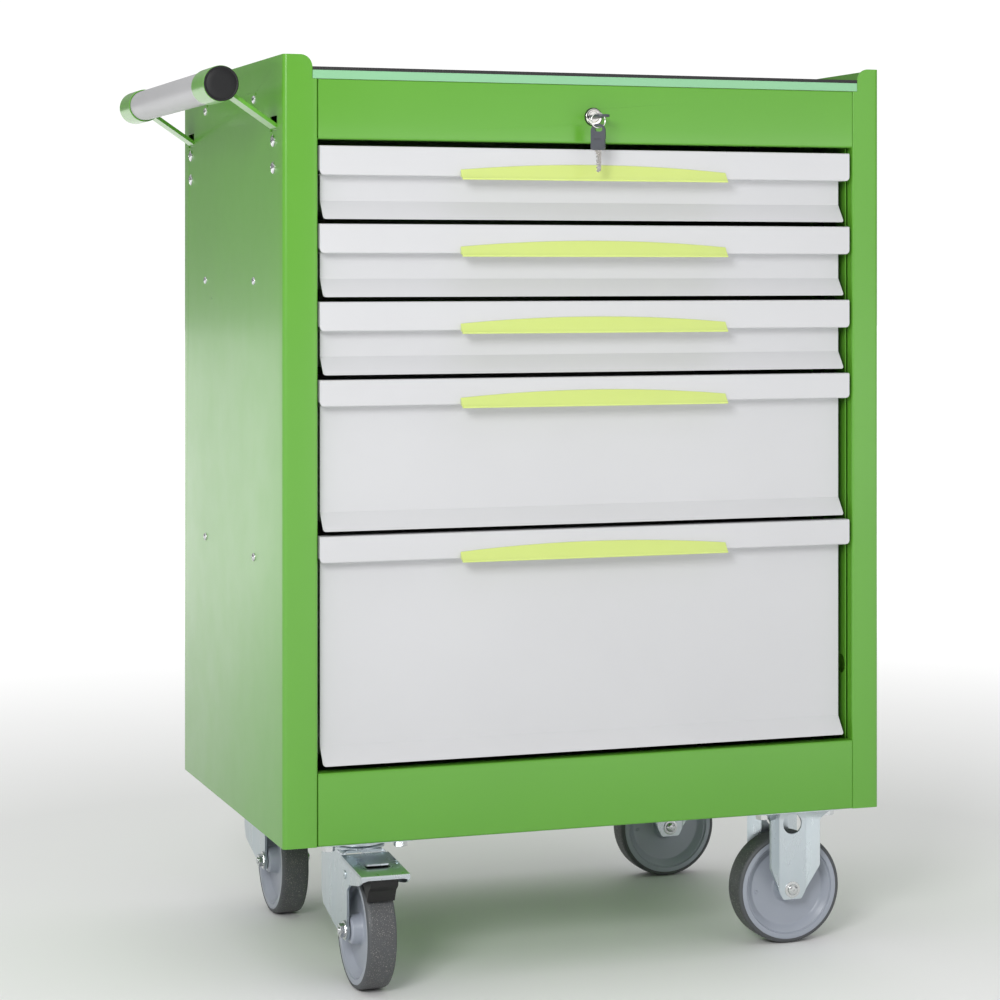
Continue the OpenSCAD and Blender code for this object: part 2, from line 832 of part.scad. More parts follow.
// An axle bolt along X through a fork, centred on x = 0
module axle_bolt() {
  head_t = 5;
  rod_x(-fork_out - eps, fork_out + eps, axle_r);
  rod_x(-fork_out - 1.4, -fork_out, 9);
  rod_x(fork_out, fork_out + 1.4, 9);
  translate([-fork_out - 1.4 - head_t, 0, 0]) rotate([90, 0, 90]) linear_extrude(head_t + eps) hexagon(13);
  translate([fork_out + 1.4 - eps, 0, 0]) rotate([90, 0, 90]) linear_extrude(head_t + 1) hexagon(13);
}

module swivel_axle(cy) {
  color(zinc) in_frame()
    translate([swivel_x, cy - trail, axle_z]) axle_bolt();
}

// Side outline of a pedal cheek, under the tread plate
module pedal_cheek_outline() {
  polygon([[pedal_back_y + 4, pedal_back_z - 1], [pedal_tip_y + 2, pedal_tip_z],
           [pedal_tip_y + 6, pedal_tip_z - 8], [pedal_tip_y + 14, pedal_tip_z - 11.5],
           [pedal_pivot_y + 1, pedal_pivot_z - 11], [pedal_pivot_y + 10, pedal_pivot_z - 7],
           [pedal_back_y + 4, pedal_back_z - 8]]);
}

// Side outline of the brake pad, which hangs from the tread plate over the tyre
module brake_pad_outline() {
  polygon([[-66, pedal_back_z - 2], [-104, pedal_tip_z], [-104, -35.5], [-97, -41], [-79, -41.5],
           [-68, -35.5]]);
}

// Foot pedal astride the legs of a swivel fork, with its pin and its brake pad
module brake_pedal(cy) {
  half = fork_out + 0.3 + pedal_t;
  lip = 6;
  pin_end = half + 1.2;
  pad_half = wheel_w / 2 - 1;
  color(zinc) in_frame()
    translate([swivel_x, cy, 0])
      difference() {
        union() {
          along_x(-half, half)
            folded([[pedal_back_y, pedal_back_z], [pedal_tip_y, pedal_tip_z],
                    [pedal_tip_y - 1, pedal_tip_z - lip]],
                   [0, 2.5, 0], pedal_t);
          along_x(-half, -half + pedal_t) pedal_cheek_outline();
          along_x(half - pedal_t, half) pedal_cheek_outline();
          translate([0, pedal_pivot_y, pedal_pivot_z]) {
            rod_x(-pin_end, -fork_in + 1, pedal_pin_r);
            rod_x(fork_in - 1, pin_end, pedal_pin_r);
          }
          along_x(-pad_half, pad_half) brake_pad_outline();
        }
        // window in the tread plate
        block([-10, -86, pedal_tip_z - 1.5], [10, -74, 0]);
      }
}

module fixed_leg_outline() {
  tip = 11;
  difference() {
    polygon([[-leg_half, -plate_t + eps], [leg_half, -plate_t + eps], [leg_half, leg_taper_z],
             [tip, axle_z - 12], [-tip, axle_z - 12], [-leg_half, leg_taper_z]]);
    translate([0, axle_z]) circle(r = axle_r + 0.1, $fn = round_fn);
    translate([0, -19.5]) circle(r = 12, $fn = round_fn);
  }
}

module fixed_caster_forks() {
  rib = 6;
  rib_top = -plate_t - 8;   // below the heads of the plate bolts
  color(zinc) in_frame()
    for (cy = caster_y)
      translate([fixed_x, cy, 0]) {
        caster_plate();
        for (side = [0, 1])
          mirror([0, side, 0]) {
            along_y(fork_in, fork_out) fixed_leg_outline();
            // outward flanges along the sides of the leg
            for (x = [-leg_half, leg_half - fork_t])
              block([x, fork_out - eps, leg_taper_z], [x + fork_t, fork_out + rib, rib_top]);
          }
      }
}

module fixed_caster_axles() {
  color(zinc) in_frame()
    for (cy = caster_y)
      translate([fixed_x, cy, axle_z]) rotate([0, 0, 90]) axle_bolt();
}

// ---------------------------------------------------------------- wheels

// Half section of a hub: radius first, then distance along the axle
module hub_section() {
  bore = axle_r + axle_clear;
  rim = wheel_w / 2 - 0.6;
  polygon([[bore, -hub_half], [14, -hub_half], [16, -hub_half + 2], [18, -7], [43, -6], [49, -10.5],
           [51.5, -12.5], [51.9, -rim], [hub_r, -rim], [hub_r, rim], [51.9, rim], [51.5, 12.5],
           [49, 10.5], [43, 6], [18, 7], [16, hub_half - 2], [14, hub_half], [bore, hub_half]]);
}

module tyre_section() {
  half = wheel_w / 2;
  r1 = wheel_d / 2;
  edge = 3.5;
  intersection() {
    translate([hub_r, -half]) square([r1 - hub_r, 2 * half]);
    union() {
      translate([0, -half]) square([r1 - edge, 2 * half]);
      translate([r1 - 2 * edge, -half + edge]) square([2 * edge, 2 * (half - edge)]);
      for (s = [-1, 1])
        translate([r1 - edge, s * (half - edge)]) circle(r = edge, $fn = 32);
    }
  }
}

// A round part whose axis is X for the swivel casters and Y for the fixed ones
module wheel_part(cx, cy, along_axis_x) {
  in_frame()
    translate([cx, cy, axle_z])
      rotate(along_axis_x ? [0, 90, 0] : [90, 0, 0])
        rotate_extrude($fn = 96) children();
}

module hub(cx, cy, along_axis_x) {
  color(hub_grey) wheel_part(cx, cy, along_axis_x) hub_section();
}

module tyre(cx, cy, along_axis_x) {
  color(tyre_grey) wheel_part(cx, cy, along_axis_x) tyre_section();
}

// ---------------------------------------------------------------- nodes

left_side_panel();
right_side_panel();
back_panel();
floor_panel();
base_front_rail();
top_front_rail();
worktop_board();
worktop_edge_trim();
worktop_mat();
runner_posts();
cabinet_runners();
lock_barrel();
lock_plug();
lock_key();
key_ring();
spare_key();
handle_arms();
handle_collars();
handle_grip();
handle_end_caps();
handle_bolts();
panel_screws();
caster_bolts();
fixed_caster_forks();
fixed_caster_axles();
swivel_plates();
drawer_box(0);  // drawer_1_box
drawer_box(1);  // drawer_2_box
drawer_box(2);  // drawer_3_box
drawer_box(3);  // drawer_4_box
drawer_box(4);  // drawer_5_box
drawer_pull(0);  // drawer_1_pull
drawer_pull(1);  // drawer_2_pull
drawer_pull(2);  // drawer_3_pull
drawer_pull(3);  // drawer_4_pull
drawer_pull(4);  // drawer_5_pull
drawer_slide(0);  // drawer_1_slide
drawer_slide(1);  // drawer_2_slide
drawer_slide(2);  // drawer_3_slide
drawer_slide(3);  // drawer_4_slide
drawer_slide(4);  // drawer_5_slide
runner_middle(0);  // runner_1_middle
runner_middle(1);  // runner_2_middle
runner_middle(2);  // runner_3_middle
runner_middle(3);  // runner_4_middle
runner_middle(4);  // runner_5_middle
swivel_fork(caster_front_y);  // swivel_fork_front
swivel_fork(caster_rear_y);  // swivel_fork_rear
swivel_axle(caster_front_y);  // swivel_axle_front
swivel_axle(caster_rear_y);  // swivel_axle_rear
brake_pedal(caster_front_y);  // brake_pedal_front
brake_pedal(caster_rear_y);  // brake_pedal_rear
hub(swivel_x, caster_front_y - trail, true);  // hub_front_left
hub(swivel_x, caster_rear_y - trail, true);  // hub_rear_left
hub(fixed_x, caster_front_y, false);  // hub_front_right
hub(fixed_x, caster_rear_y, false);  // hub_rear_right
tyre(swivel_x, caster_front_y - trail, true);  // tyre_front_left
tyre(swivel_x, caster_rear_y - trail, true);  // tyre_rear_left
tyre(fixed_x, caster_front_y, false);  // tyre_front_right
tyre(fixed_x, caster_rear_y, false);  // tyre_rear_right
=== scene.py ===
"""The looks of the tool cart: the finish of its CAD sub-parts, the detailed pieces that stand for
the plain ones, and the studio round it. Lengths in the shape code are millimetres."""

import math

import bmesh
import bpy
from mathutils import Matrix, Vector


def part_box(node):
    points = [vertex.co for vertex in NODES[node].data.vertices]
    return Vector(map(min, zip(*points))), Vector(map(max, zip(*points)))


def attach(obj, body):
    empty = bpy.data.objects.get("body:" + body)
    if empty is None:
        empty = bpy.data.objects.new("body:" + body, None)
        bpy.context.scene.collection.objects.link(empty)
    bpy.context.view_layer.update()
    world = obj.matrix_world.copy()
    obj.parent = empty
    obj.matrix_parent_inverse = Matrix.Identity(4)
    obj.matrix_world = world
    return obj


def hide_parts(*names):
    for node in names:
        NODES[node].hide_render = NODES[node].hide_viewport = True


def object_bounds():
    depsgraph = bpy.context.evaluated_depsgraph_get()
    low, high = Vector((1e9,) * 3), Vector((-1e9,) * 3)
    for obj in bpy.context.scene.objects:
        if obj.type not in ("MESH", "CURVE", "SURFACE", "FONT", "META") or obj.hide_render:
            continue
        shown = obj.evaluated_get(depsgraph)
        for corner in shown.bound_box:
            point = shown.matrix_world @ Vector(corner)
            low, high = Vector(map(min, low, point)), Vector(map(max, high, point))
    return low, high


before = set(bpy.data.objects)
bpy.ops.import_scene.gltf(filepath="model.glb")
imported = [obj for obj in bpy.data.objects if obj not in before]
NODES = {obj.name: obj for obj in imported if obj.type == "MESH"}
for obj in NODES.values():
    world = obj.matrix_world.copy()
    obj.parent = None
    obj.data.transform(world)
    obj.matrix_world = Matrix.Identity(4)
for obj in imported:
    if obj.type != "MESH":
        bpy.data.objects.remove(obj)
CAD_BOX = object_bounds()
MM = 0.001

# The cabinet's lower left front corner: X runs to the right, Y to the back and Z up
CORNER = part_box("left_side_panel")[0]
ROUND_STEPS = 96
SMALL_ROUND_STEPS = 40


# ------------------------------------------------------------------ materials

def add_node(tree, kind, settings=None, **inputs):
    """Adds a node. An input is a value, or a socket that it is joined to."""
    node = tree.nodes.new("ShaderNode" + kind)
    for key, value in (settings or {}).items():
        setattr(node, key, value)
    for key, value in inputs.items():
        socket = node.inputs[key.replace("_", " ")]
        if isinstance(value, bpy.types.NodeSocket):
            tree.links.new(value, socket)
        else:
            socket.default_value = value
    return node


def noise(tree, where, scale, detail=3.0, stretch=(1.0, 1.0, 1.0)):
    """A noise over the object's own coordinates, scale in features per metre, from 0 to 1."""
    placed = add_node(tree, "Mapping", Vector=where, Scale=stretch)
    return add_node(tree, "TexNoise", Vector=placed.outputs[0], Scale=scale, Detail=detail).outputs[0]


def spread(tree, value, low, high, from_low=0.2, from_high=0.8):
    """Maps the middle of a noise onto low to high."""
    node = add_node(tree, "MapRange", Value=value)
    node.inputs["From Min"].default_value = from_low
    node.inputs["From Max"].default_value = from_high
    node.inputs["To Min"].default_value = low
    node.inputs["To Max"].default_value = high
    return node.outputs[0]


def mix(tree, factor, colour_a, colour_b):
    """A colour between two, each a colour or a socket."""
    node = add_node(tree, "Mix", {"data_type": "RGBA"})
    for socket, value in ((node.inputs[0], factor), (node.inputs[6], colour_a), (node.inputs[7], colour_b)):
        if isinstance(value, bpy.types.NodeSocket):
            tree.links.new(value, socket)
        else:
            socket.default_value = value if isinstance(value, float) else (*value, 1.0)
    return node.outputs[2]


def shade(colour, amount):
    return tuple(min(1.0, c * amount) for c in colour)


def surface(name, colour, rough, metallic=0.0, second=None, patch=9.0, rough_range=0.03,
            grain=900.0, depth=0.01, stretch=(1.0, 1.0, 1.0), **constants):
    """A material whose colour drifts between two shades in patches, with an uneven gloss and a
    fine grain. depth is the height of the grain in millimetres."""
    mat = bpy.data.materials.new(name)
    mat.use_nodes = True
    tree = mat.node_tree
    shader = tree.nodes["Principled BSDF"]
    where = add_node(tree, "TexCoord").outputs["Object"]
    drift = noise(tree, where, patch, stretch=stretch)
    tint = mix(tree, spread(tree, drift, 0.0, 1.0), shade(colour, 0.97), second or shade(colour, 1.03))
    tree.links.new(tint, shader.inputs["Base Color"])
    uneven = noise(tree, where, 4 * patch, stretch=stretch)
    gloss = spread(tree, uneven, rough - rough_range, rough + rough_range)
    tree.links.new(gloss, shader.inputs["Roughness"])
    fine = noise(tree, where, grain, detail=2.0, stretch=stretch)
    bump = add_node(tree, "Bump", Height=fine, Distance=depth * MM, Strength=1.0)
    tree.links.new(bump.outputs[0], shader.inputs["Normal"])
    shader.inputs["Metallic"].default_value = metallic
    for key, value in constants.items():
        shader.inputs[key.replace("_", " ")].default_value = value
    return mat


def powder_coat(name, colour, rough, coat):
    """Paint on sheet steel, with the orange peel of a powder coat under a thin gloss."""
    return surface(name, colour, rough, patch=5.0, grain=420.0, depth=0.012,
                   Coat_Weight=coat, Coat_Roughness=0.12, Coat_IOR=1.5)


def zinc(name, colour, second, rough):
    """Bright zinc plate, which is bluish in places and has faint rolling streaks."""
    return surface(name, colour, rough, metallic=1.0, second=second, patch=22.0, rough_range=0.09,
                   grain=700.0, depth=0.006, stretch=(1.0, 1.0, 0.25))


def rubber_tyre():
    """Grey rubber, whose tread is worn brown and specked with grit. The wheel's axis is local X."""
    tread_from, tread_full = 0.0608, 0.0622
    mat = surface("tyre_rubber", (0.075, 0.080, 0.086), 0.52, patch=30.0, grain=1500.0, depth=0.02)
    tree = mat.node_tree
    shader = tree.nodes["Principled BSDF"]
    where = add_node(tree, "TexCoord").outputs["Object"]
    across = add_node(tree, "VectorMath", {"operation": "MULTIPLY"})
    tree.links.new(where, across.inputs[0])
    across.inputs[1].default_value = (0.0, 1.0, 1.0)
    radius = add_node(tree, "VectorMath", {"operation": "LENGTH"})
    tree.links.new(across.outputs[0], radius.inputs[0])
    on_tread = spread(tree, radius.outputs["Value"], 0.0, 1.0, tread_from, tread_full)
    worn = spread(tree, noise(tree, where, 60.0), 0.1, 0.9, 0.35, 0.65)
    specks = spread(tree, noise(tree, where, 900.0, detail=1.0), 0.0, 1.0, 0.63, 0.68)
    side = shader.inputs["Base Color"].links[0].from_socket
    brown = mix(tree, worn, side, (0.069, 0.071, 0.074))
    gritty = mix(tree, specks, brown, (0.24, 0.23, 0.22))
    tree.links.new(mix(tree, on_tread, side, gritty), shader.inputs["Base Color"])
    return mat


def ribbed_mat():
    """Black rubber with fine ribs from front to back."""
    rib_pitch, rib_depth = 0.003, 0.0004
    mat = surface("mat_rubber", (0.012, 0.012, 0.013), 0.5, patch=14.0, grain=1600.0, depth=0.03)
    tree = mat.node_tree
    shader = tree.nodes["Principled BSDF"]
    where = add_node(tree, "TexCoord").outputs["Object"]
    ribs = add_node(tree, "TexWave", {"bands_direction": "X"}, Vector=where,
                    Scale=math.pi / (10 * rib_pitch), Distortion=0.0)
    bump = add_node(tree, "Bump", Height=ribs.outputs["Fac"], Distance=rib_depth, Strength=0.6)
    tree.links.new(shader.inputs["Normal"].links[0].from_socket, bump.inputs["Normal"])
    tree.links.new(bump.outputs[0], shader.inputs["Normal"])
    return mat


GREEN = powder_coat("green_paint", (0.100, 0.330, 0.024), 0.30, 0.30)
GREY = powder_coat("drawer_paint", (0.560, 0.564, 0.577), 0.42, 0.10)
BOARD = surface("worktop_board", (0.42, 0.30, 0.19), 0.6, patch=12.0, grain=500.0, depth=0.03,
                stretch=(0.15, 1.0, 1.0))
MINT = surface("edge_trim", (0.23, 0.49, 0.275), 0.35, grain=1200.0)
MAT = ribbed_mat()
PULL = surface("pull_plastic", (0.56, 0.665, 0.190), 0.32, patch=8.0, grain=1400.0, depth=0.006,
               Coat_Weight=0.2, Coat_Roughness=0.15, Subsurface_Weight=0.15, Subsurface_Scale=0.004,
               Subsurface_Radius=(1.0, 1.0, 0.4))
GRIP = surface("grip_plastic", (0.43, 0.43, 0.44), 0.42, patch=20.0, grain=1500.0, depth=0.02)
CAP = surface("cap_plastic", (0.005, 0.005, 0.006), 0.55, patch=40.0, grain=1100.0, depth=0.05,
              Specular_IOR_Level=0.35)
ZINC = zinc("zinc_steel", (0.62, 0.66, 0.68), (0.57, 0.645, 0.69), 0.30)
BOLT = zinc("zinc_fasteners", (0.62, 0.65, 0.68), (0.68, 0.68, 0.66), 0.20)
RUNNER = zinc("runner_steel", (0.58, 0.60, 0.62), (0.52, 0.55, 0.60), 0.32)
CHROME = surface("lock_chrome", (0.80, 0.78, 0.75), 0.12, metallic=1.0, patch=60.0, rough_range=0.04,
                 grain=1200.0, depth=0.003)
RING = surface("ring_steel", (0.78, 0.78, 0.76), 0.16, metallic=1.0, patch=80.0, depth=0.002)
BOW = surface("key_plastic", (0.052, 0.057, 0.070), 0.42, patch=60.0, grain=2400.0, depth=0.02)
BLADE = surface("key_blade", (0.76, 0.70, 0.62), 0.22, metallic=1.0, second=(0.70, 0.72, 0.74),
                patch=90.0, depth=0.004, stretch=(1.0, 1.0, 0.2))
HUB = surface("hub_plastic", (0.326, 0.353, 0.410), 0.33, patch=16.0, grain=700.0, depth=0.01,
              Coat_Weight=0.1, Coat_Roughness=0.2)
TYRE = rubber_tyre()
PAD = surface("brake_pad", (0.004, 0.004, 0.004), 0.6, patch=60.0, grain=1200.0, depth=0.05)


# ------------------------------------------------------------------ shapes

def rounded(points, steps=5):
    """An outline whose corners are rounded. A point may carry its corner's radius."""
    out = []
    for i, point in enumerate(points):
        p = Vector(point[:2])
        if len(point) < 3 or point[2] <= 0:
            out.append(p)
            continue
        before = Vector(points[i - 1][:2]) - p
        after = Vector(points[(i + 1) % len(points)][:2]) - p
        half = before.angle(after) / 2
        reach = min(point[2] / math.tan(half), before.length * 0.499, after.length * 0.499)
        radius = reach * math.tan(half)
        middle = p + (before.normalized() + after.normalized()).normalized() * radius / math.sin(half)
        first = p + before.normalized() * reach - middle
        sweep = first.angle_signed(p + after.normalized() * reach - middle)
        for k in range(steps + 1):
            q = sweep * k / steps
            turned = Vector((first.x * math.cos(q) + first.y * math.sin(q),
                             first.y * math.cos(q) - first.x * math.sin(q)))
            out.append(middle + turned)
    return [(v.x, v.y) for v in out]


def circle(x, y, r, steps=32):
    return [(x + r * math.cos(math.tau * k / steps), y + r * math.sin(math.tau * k / steps))
            for k in range(steps)]


def join(bm, other, place):
    """Adds a mesh to bm, moved by the matrix."""
    start = len(bm.verts)
    bm.from_mesh(other)
    bm.verts.ensure_lookup_table()
    bmesh.ops.transform(bm, matrix=place, verts=bm.verts[start:])


def lathe(bm, profile, place=None, steps=ROUND_STEPS):
    """Turns a closed profile of (radius, distance along X) points about X."""
    place = place or Matrix()
    rings = []
    for k in range(steps):
        turn = place @ Matrix.Rotation(math.tau * k / steps, 4, "X")
        rings.append([bm.verts.new(turn @ Vector((along, r, 0.0))) for r, along in profile])
    count = len(profile)
    for ring, after in zip(rings, rings[1:] + rings[:1]):
        for i in range(count):
            j = (i + 1) % count
            bm.faces.new((ring[i], ring[j], after[j], after[i]))


def plate(bm, outline, thickness, holes=(), place=None):
    """A flat plate in XY, with its middle at Z = 0."""
    part = bmesh.new()
    for loop in (outline, *holes):
        verts = [part.verts.new((x, y, -thickness / 2)) for x, y in loop]
        for a, b in zip(verts, verts[1:] + verts[:1]):
            part.edges.new((a, b))
    bmesh.ops.triangle_fill(part, edges=part.edges[:], use_beauty=True)
    top = bmesh.ops.extrude_face_region(part, geom=part.faces[:])["geom"]
    raised = [v for v in top if isinstance(v, bmesh.types.BMVert)]
    bmesh.ops.translate(part, vec=(0, 0, thickness), verts=raised)
    temp = bpy.data.meshes.new("plate")
    part.to_mesh(temp)
    part.free()
    join(bm, temp, place or Matrix())
    bpy.data.meshes.remove(temp)


def cut_across(bm, places, axis):
    """Cuts edges into every face at these places along an axis, so that it can bend there."""
    normal = Vector([1.0 if k == axis else 0.0 for k in range(3)])
    for place in places:
        geom = bm.verts[:] + bm.edges[:] + bm.faces[:]
        bmesh.ops.bisect_plane(bm, geom=geom, dist=1e-4, plane_co=normal * place, plane_no=normal)


def bent(s, above, flat, radius, angle):
    """Where a sheet's point goes when the sheet is bent down after a flat stretch. s is the
    distance along the sheet and above is the height over its middle."""
    q = min(max((s - flat) / radius, 0.0), angle)
    beyond = max(s - flat - radius * angle, 0.0)
    along = min(s, flat) + radius * math.sin(q) + beyond * math.cos(angle)
    up = -radius * (1 - math.cos(q)) - beyond * math.sin(angle)
    return along + above * math.sin(q), up + above * math.cos(q)


def bend_cuts(flat, radius, angle, steps=6):
    return [flat + radius * angle * k / steps for k in range(steps + 1)]


def hex_head(bm, flats, height, place):
    """A hexagon along X, from 0 to its chamfered top at height."""
    steps, rings = 36, []
    for k in range(steps):
        angle = math.tau * k / steps
        corner = flats / 2 / math.cos((angle + math.pi / 6) % (math.pi / 3) - math.pi / 6)
        drop = (corner - flats / 2) * 0.6
        profile = ((0.0, 0.0), (corner, 0.0), (corner, height - drop), (flats / 2 * 0.95, height),
                   (0.0, height))
        rings.append([bm.verts.new(place @ Vector((x, r * math.cos(angle), r * math.sin(angle))))
                      for r, x in profile])
    for ring, after in zip(rings, rings[1:] + rings[:1]):
        for i in range(len(ring) - 1):
            bm.faces.new((ring[i], ring[i + 1], after[i + 1], after[i]))


def disc(r, x0, x1, edge=0.4):
    """The profile of a washer or a rod about X, with softened edges."""
    low, high = min(x0, x1), max(x0, x1)
    side = rounded([(0.0, low), (r, low, edge), (r, high, edge), (0.0, high)], 3)
    return [(0.0, low), *side[1:-1], (0.0, high)]


def to_mesh(bm, name, sharp=30.0):
    """The finished mesh, in metres, smooth but for its sharp edges."""
    bmesh.ops.remove_doubles(bm, verts=bm.verts, dist=1e-3)
    bmesh.ops.dissolve_degenerate(bm, edges=bm.edges, dist=1e-4)
    bmesh.ops.recalc_face_normals(bm, faces=bm.faces)
    bmesh.ops.scale(bm, vec=(MM, MM, MM), verts=bm.verts)
    mesh = bpy.data.meshes.new(name)
    bm.to_mesh(mesh)
    bm.free()
    mesh.shade_smooth()
    mesh.set_sharp_from_angle(angle=math.radians(sharp))
    return mesh


def soften(obj, width, segments=2):
    """Rounds the sharp edges of a piece by a width in millimetres."""
    bevel = obj.modifiers.new("soft_edges", "BEVEL")
    bevel.width = width * MM
    bevel.segments = segments
    bevel.limit_method = "ANGLE"
    bevel.angle_limit = math.radians(32)
    bevel.use_clamp_overlap = True
    bevel.harden_normals = True


def add_piece(name, mesh, body, look, place=None, stands_for=(), soft=0.0):
    """Puts a piece in place, on its body."""
    obj = bpy.data.objects.new(name, mesh)
    bpy.context.scene.collection.objects.link(obj)
    obj.matrix_world = place or Matrix()
    if not mesh.materials:
        mesh.materials.append(look)
    if soft:
        soften(obj, soft)
    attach(obj, body)
    if stands_for:
        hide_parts(*stands_for)
    return obj


def middle(node):
    low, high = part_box(node)
    return (low + high) / 2


# ------------------------------------------------------------------ kept CAD sub-parts

def clean_up_nodes():
    """Geometry nodes that weld the imported faces and shade them smooth between sharp edges."""
    group = bpy.data.node_groups.new("smooth_cad", "GeometryNodeTree")
    group.interface.new_socket("Geometry", in_out="INPUT", socket_type="NodeSocketGeometry")
    group.interface.new_socket("Geometry", in_out="OUTPUT", socket_type="NodeSocketGeometry")
    nodes, links = group.nodes, group.links
    weld = nodes.new("GeometryNodeMergeByDistance")
    weld.inputs["Distance"].default_value = 0.01 * MM
    plain = nodes.new("GeometryNodeRemoveAttribute")
    plain.inputs["Name"].default_value = "custom_normal"
    smooth = nodes.new("GeometryNodeSetShadeSmooth")
    sharp = nodes.new("GeometryNodeSetShadeSmooth")
    sharp.domain = "EDGE"
    angle = nodes.new("GeometryNodeInputMeshEdgeAngle")
    gentle = nodes.new("FunctionNodeCompare")
    gentle.operation = "LESS_THAN"
    gentle.inputs[1].default_value = math.radians(25)
    links.new(angle.outputs["Unsigned Angle"], gentle.inputs[0])
    links.new(gentle.outputs[0], sharp.inputs["Shade Smooth"])
    chain = [nodes.new("NodeGroupInput"), weld, plain, smooth, sharp, nodes.new("NodeGroupOutput")]
    for before, after in zip(chain, chain[1:]):
        links.new(before.outputs[0], after.inputs[0])
    return group


CLEAN_UP = clean_up_nodes()


def finish_cad(look, names, soft=0.3):
    """Gives CAD sub-parts their material and softens their edges. Their meshes stay as they are."""
    for name in names:
        obj = NODES[name]
        for k in range(len(obj.material_slots)):
            obj.material_slots[k].link = "OBJECT"
            obj.material_slots[k].material = look
        clean = obj.modifiers.new("smooth_cad", "NODES")
        clean.node_group = CLEAN_UP
        if soft:
            soften(obj, soft)


def numbered(pattern, count=5):
    return [pattern.format(k) for k in range(1, count + 1)]


finish_cad(GREEN, ["left_side_panel", "right_side_panel", "back_panel", "floor_panel", "base_front_rail",
                   "top_front_rail", "runner_posts"], soft=0.25)
finish_cad(GREEN, ["handle_arms", "handle_collars"], soft=0.5)
finish_cad(BOARD, ["worktop_board"])
finish_cad(MINT, ["worktop_edge_trim"])
finish_cad(MAT, ["worktop_mat"], soft=0.6)
finish_cad(GRIP, ["handle_grip"])
finish_cad(ZINC, ["swivel_plates"], soft=0.5)
finish_cad(RING, ["key_ring"], soft=0.0)
finish_cad(GREY, numbered("drawer_{}_box"), soft=0.25)
finish_cad(RUNNER, ["cabinet_runners", *numbered("drawer_{}_slide"), *numbered("runner_{}_middle")],
           soft=0.2)


# ------------------------------------------------------------------ drawer pulls

def pull_mesh(length, depth, rise):
    """A long lens-shaped grip strip: straight below and arched above, with a face that sweeps
    back from its rolled lower edge. X runs along it, from -length / 2."""
    end_height, steps = 11.0, 64
    bm = bmesh.new()
    rings = []
    for k in range(steps + 1):
        u = 2 * k / steps - 1
        top = end_height + (rise - end_height) * (1 - u * u)
        face = [(-depth + 0.4, 0.0), (-depth, 0.5), (-depth, 1.7)]
        for j in range(1, 9):
            q = j / 8
            face.append((-depth + (depth - 1.2) * q ** 0.75, 1.7 + (top - 2.4) * q))
        back = [(-0.6, top), (0.0, top - 0.4), (0.0, 3.2), (-4.6, 1.9), (-6.2, 0.0)]
        rings.append([bm.verts.new((u * length / 2, y, z)) for y, z in face + back])
    count = len(rings[0])
    for ring, after in zip(rings, rings[1:]):
        for i in range(count):
            bm.faces.new((ring[i], ring[(i + 1) % count], after[(i + 1) % count], after[i]))
    bm.faces.new(rings[0])
    bm.faces.new(rings[-1])
    return to_mesh(bm, "pull", sharp=38)


for k in range(1, 6):
    node = f"drawer_{k}_pull"
    low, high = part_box(node)
    size = (high - low) / MM
    place = Matrix.Translation(((low.x + high.x) / 2, high.y, low.z))
    add_piece(f"pull_{k}", pull_mesh(size.x, size.y, size.z), f"drawer_{k}", PULL,
              place, [node], soft=0.35)


# ------------------------------------------------------------------ screws and bolts

def cross_head(r, height, shank_r, shank_len):
    """A screw along X with a domed head on its -X side, sunk with a cross. Millimetres."""
    bm = bmesh.new()
    dome = [(0.0, -height)]
    for k in range(1, 9):
        q = k / 8 * math.radians(78)
        dome.append((r * math.sin(q) / math.sin(math.radians(78)),
                     -height + height * 0.75 * (1 - math.cos(q)) / (1 - math.cos(math.radians(78)))))
    lathe(bm, dome + [(r, -0.05), (shank_r, 0.0), (shank_r, shank_len - 0.5), (shank_r - 0.5, shank_len),
                      (0.0, shank_len)], steps=SMALL_ROUND_STEPS)
    bmesh.ops.remove_doubles(bm, verts=bm.verts, dist=1e-3)
    bmesh.ops.recalc_face_normals(bm, faces=bm.faces)
    screw = mesh_object("screw", bm)
    cutter = bmesh.new()
    wide, deep, arm = r * 0.62, height * 0.7, r * 0.11
    for turn in (0.0, 90.0):
        tool = Matrix.Rotation(math.radians(45 + turn), 4, "X")
        outline = [(-height - 1, -wide), (-height - 1, wide), (-height + deep * 0.4, wide * 0.8),
                   (-height + deep, wide * 0.2), (-height + deep, -wide * 0.2),
                   (-height + deep * 0.4, -wide * 0.8)]
        plate(cutter, outline, 2 * arm, place=tool)
    bmesh.ops.recalc_face_normals(cutter, faces=cutter.faces)
    knife = mesh_object("knife", cutter)
    cut = screw.modifiers.new("cross", "BOOLEAN")
    cut.object = knife
    cut.use_self = True
    graph = bpy.context.evaluated_depsgraph_get()
    done = bpy.data.meshes.new_from_object(screw.evaluated_get(graph))
    for obj in (screw, knife):
        bpy.data.objects.remove(obj)
    return done


def mesh_object(name, bm):
    """A scratch object, which is removed again."""
    mesh = bpy.data.meshes.new(name)
    bm.to_mesh(mesh)
    bm.free()
    obj = bpy.data.objects.new(name, mesh)
    bpy.context.scene.collection.objects.link(obj)
    return obj


def screw_rows(name, node, head, spots, sides, nuts=None):
    """Copies of one screw at cabinet positions (y, z), pointing into the side panels."""
    bm = bmesh.new()
    for x, flip in sides:
        for k, (y, z) in enumerate(spots):
            place = Matrix.Translation((x, y, z)) @ Matrix.Rotation(math.pi if flip else 0.0, 4, "Z")
            join(bm, head, place @ Matrix.Rotation(1.1 * k, 4, "X"))
            if nuts:
                hex_head(bm, nuts[0], nuts[1], place @ Matrix.Translation((nuts[2], 0, 0)))
    add_piece(name, to_mesh(bm, name), "cabinet", BOLT, Matrix.Translation(CORNER), [node])


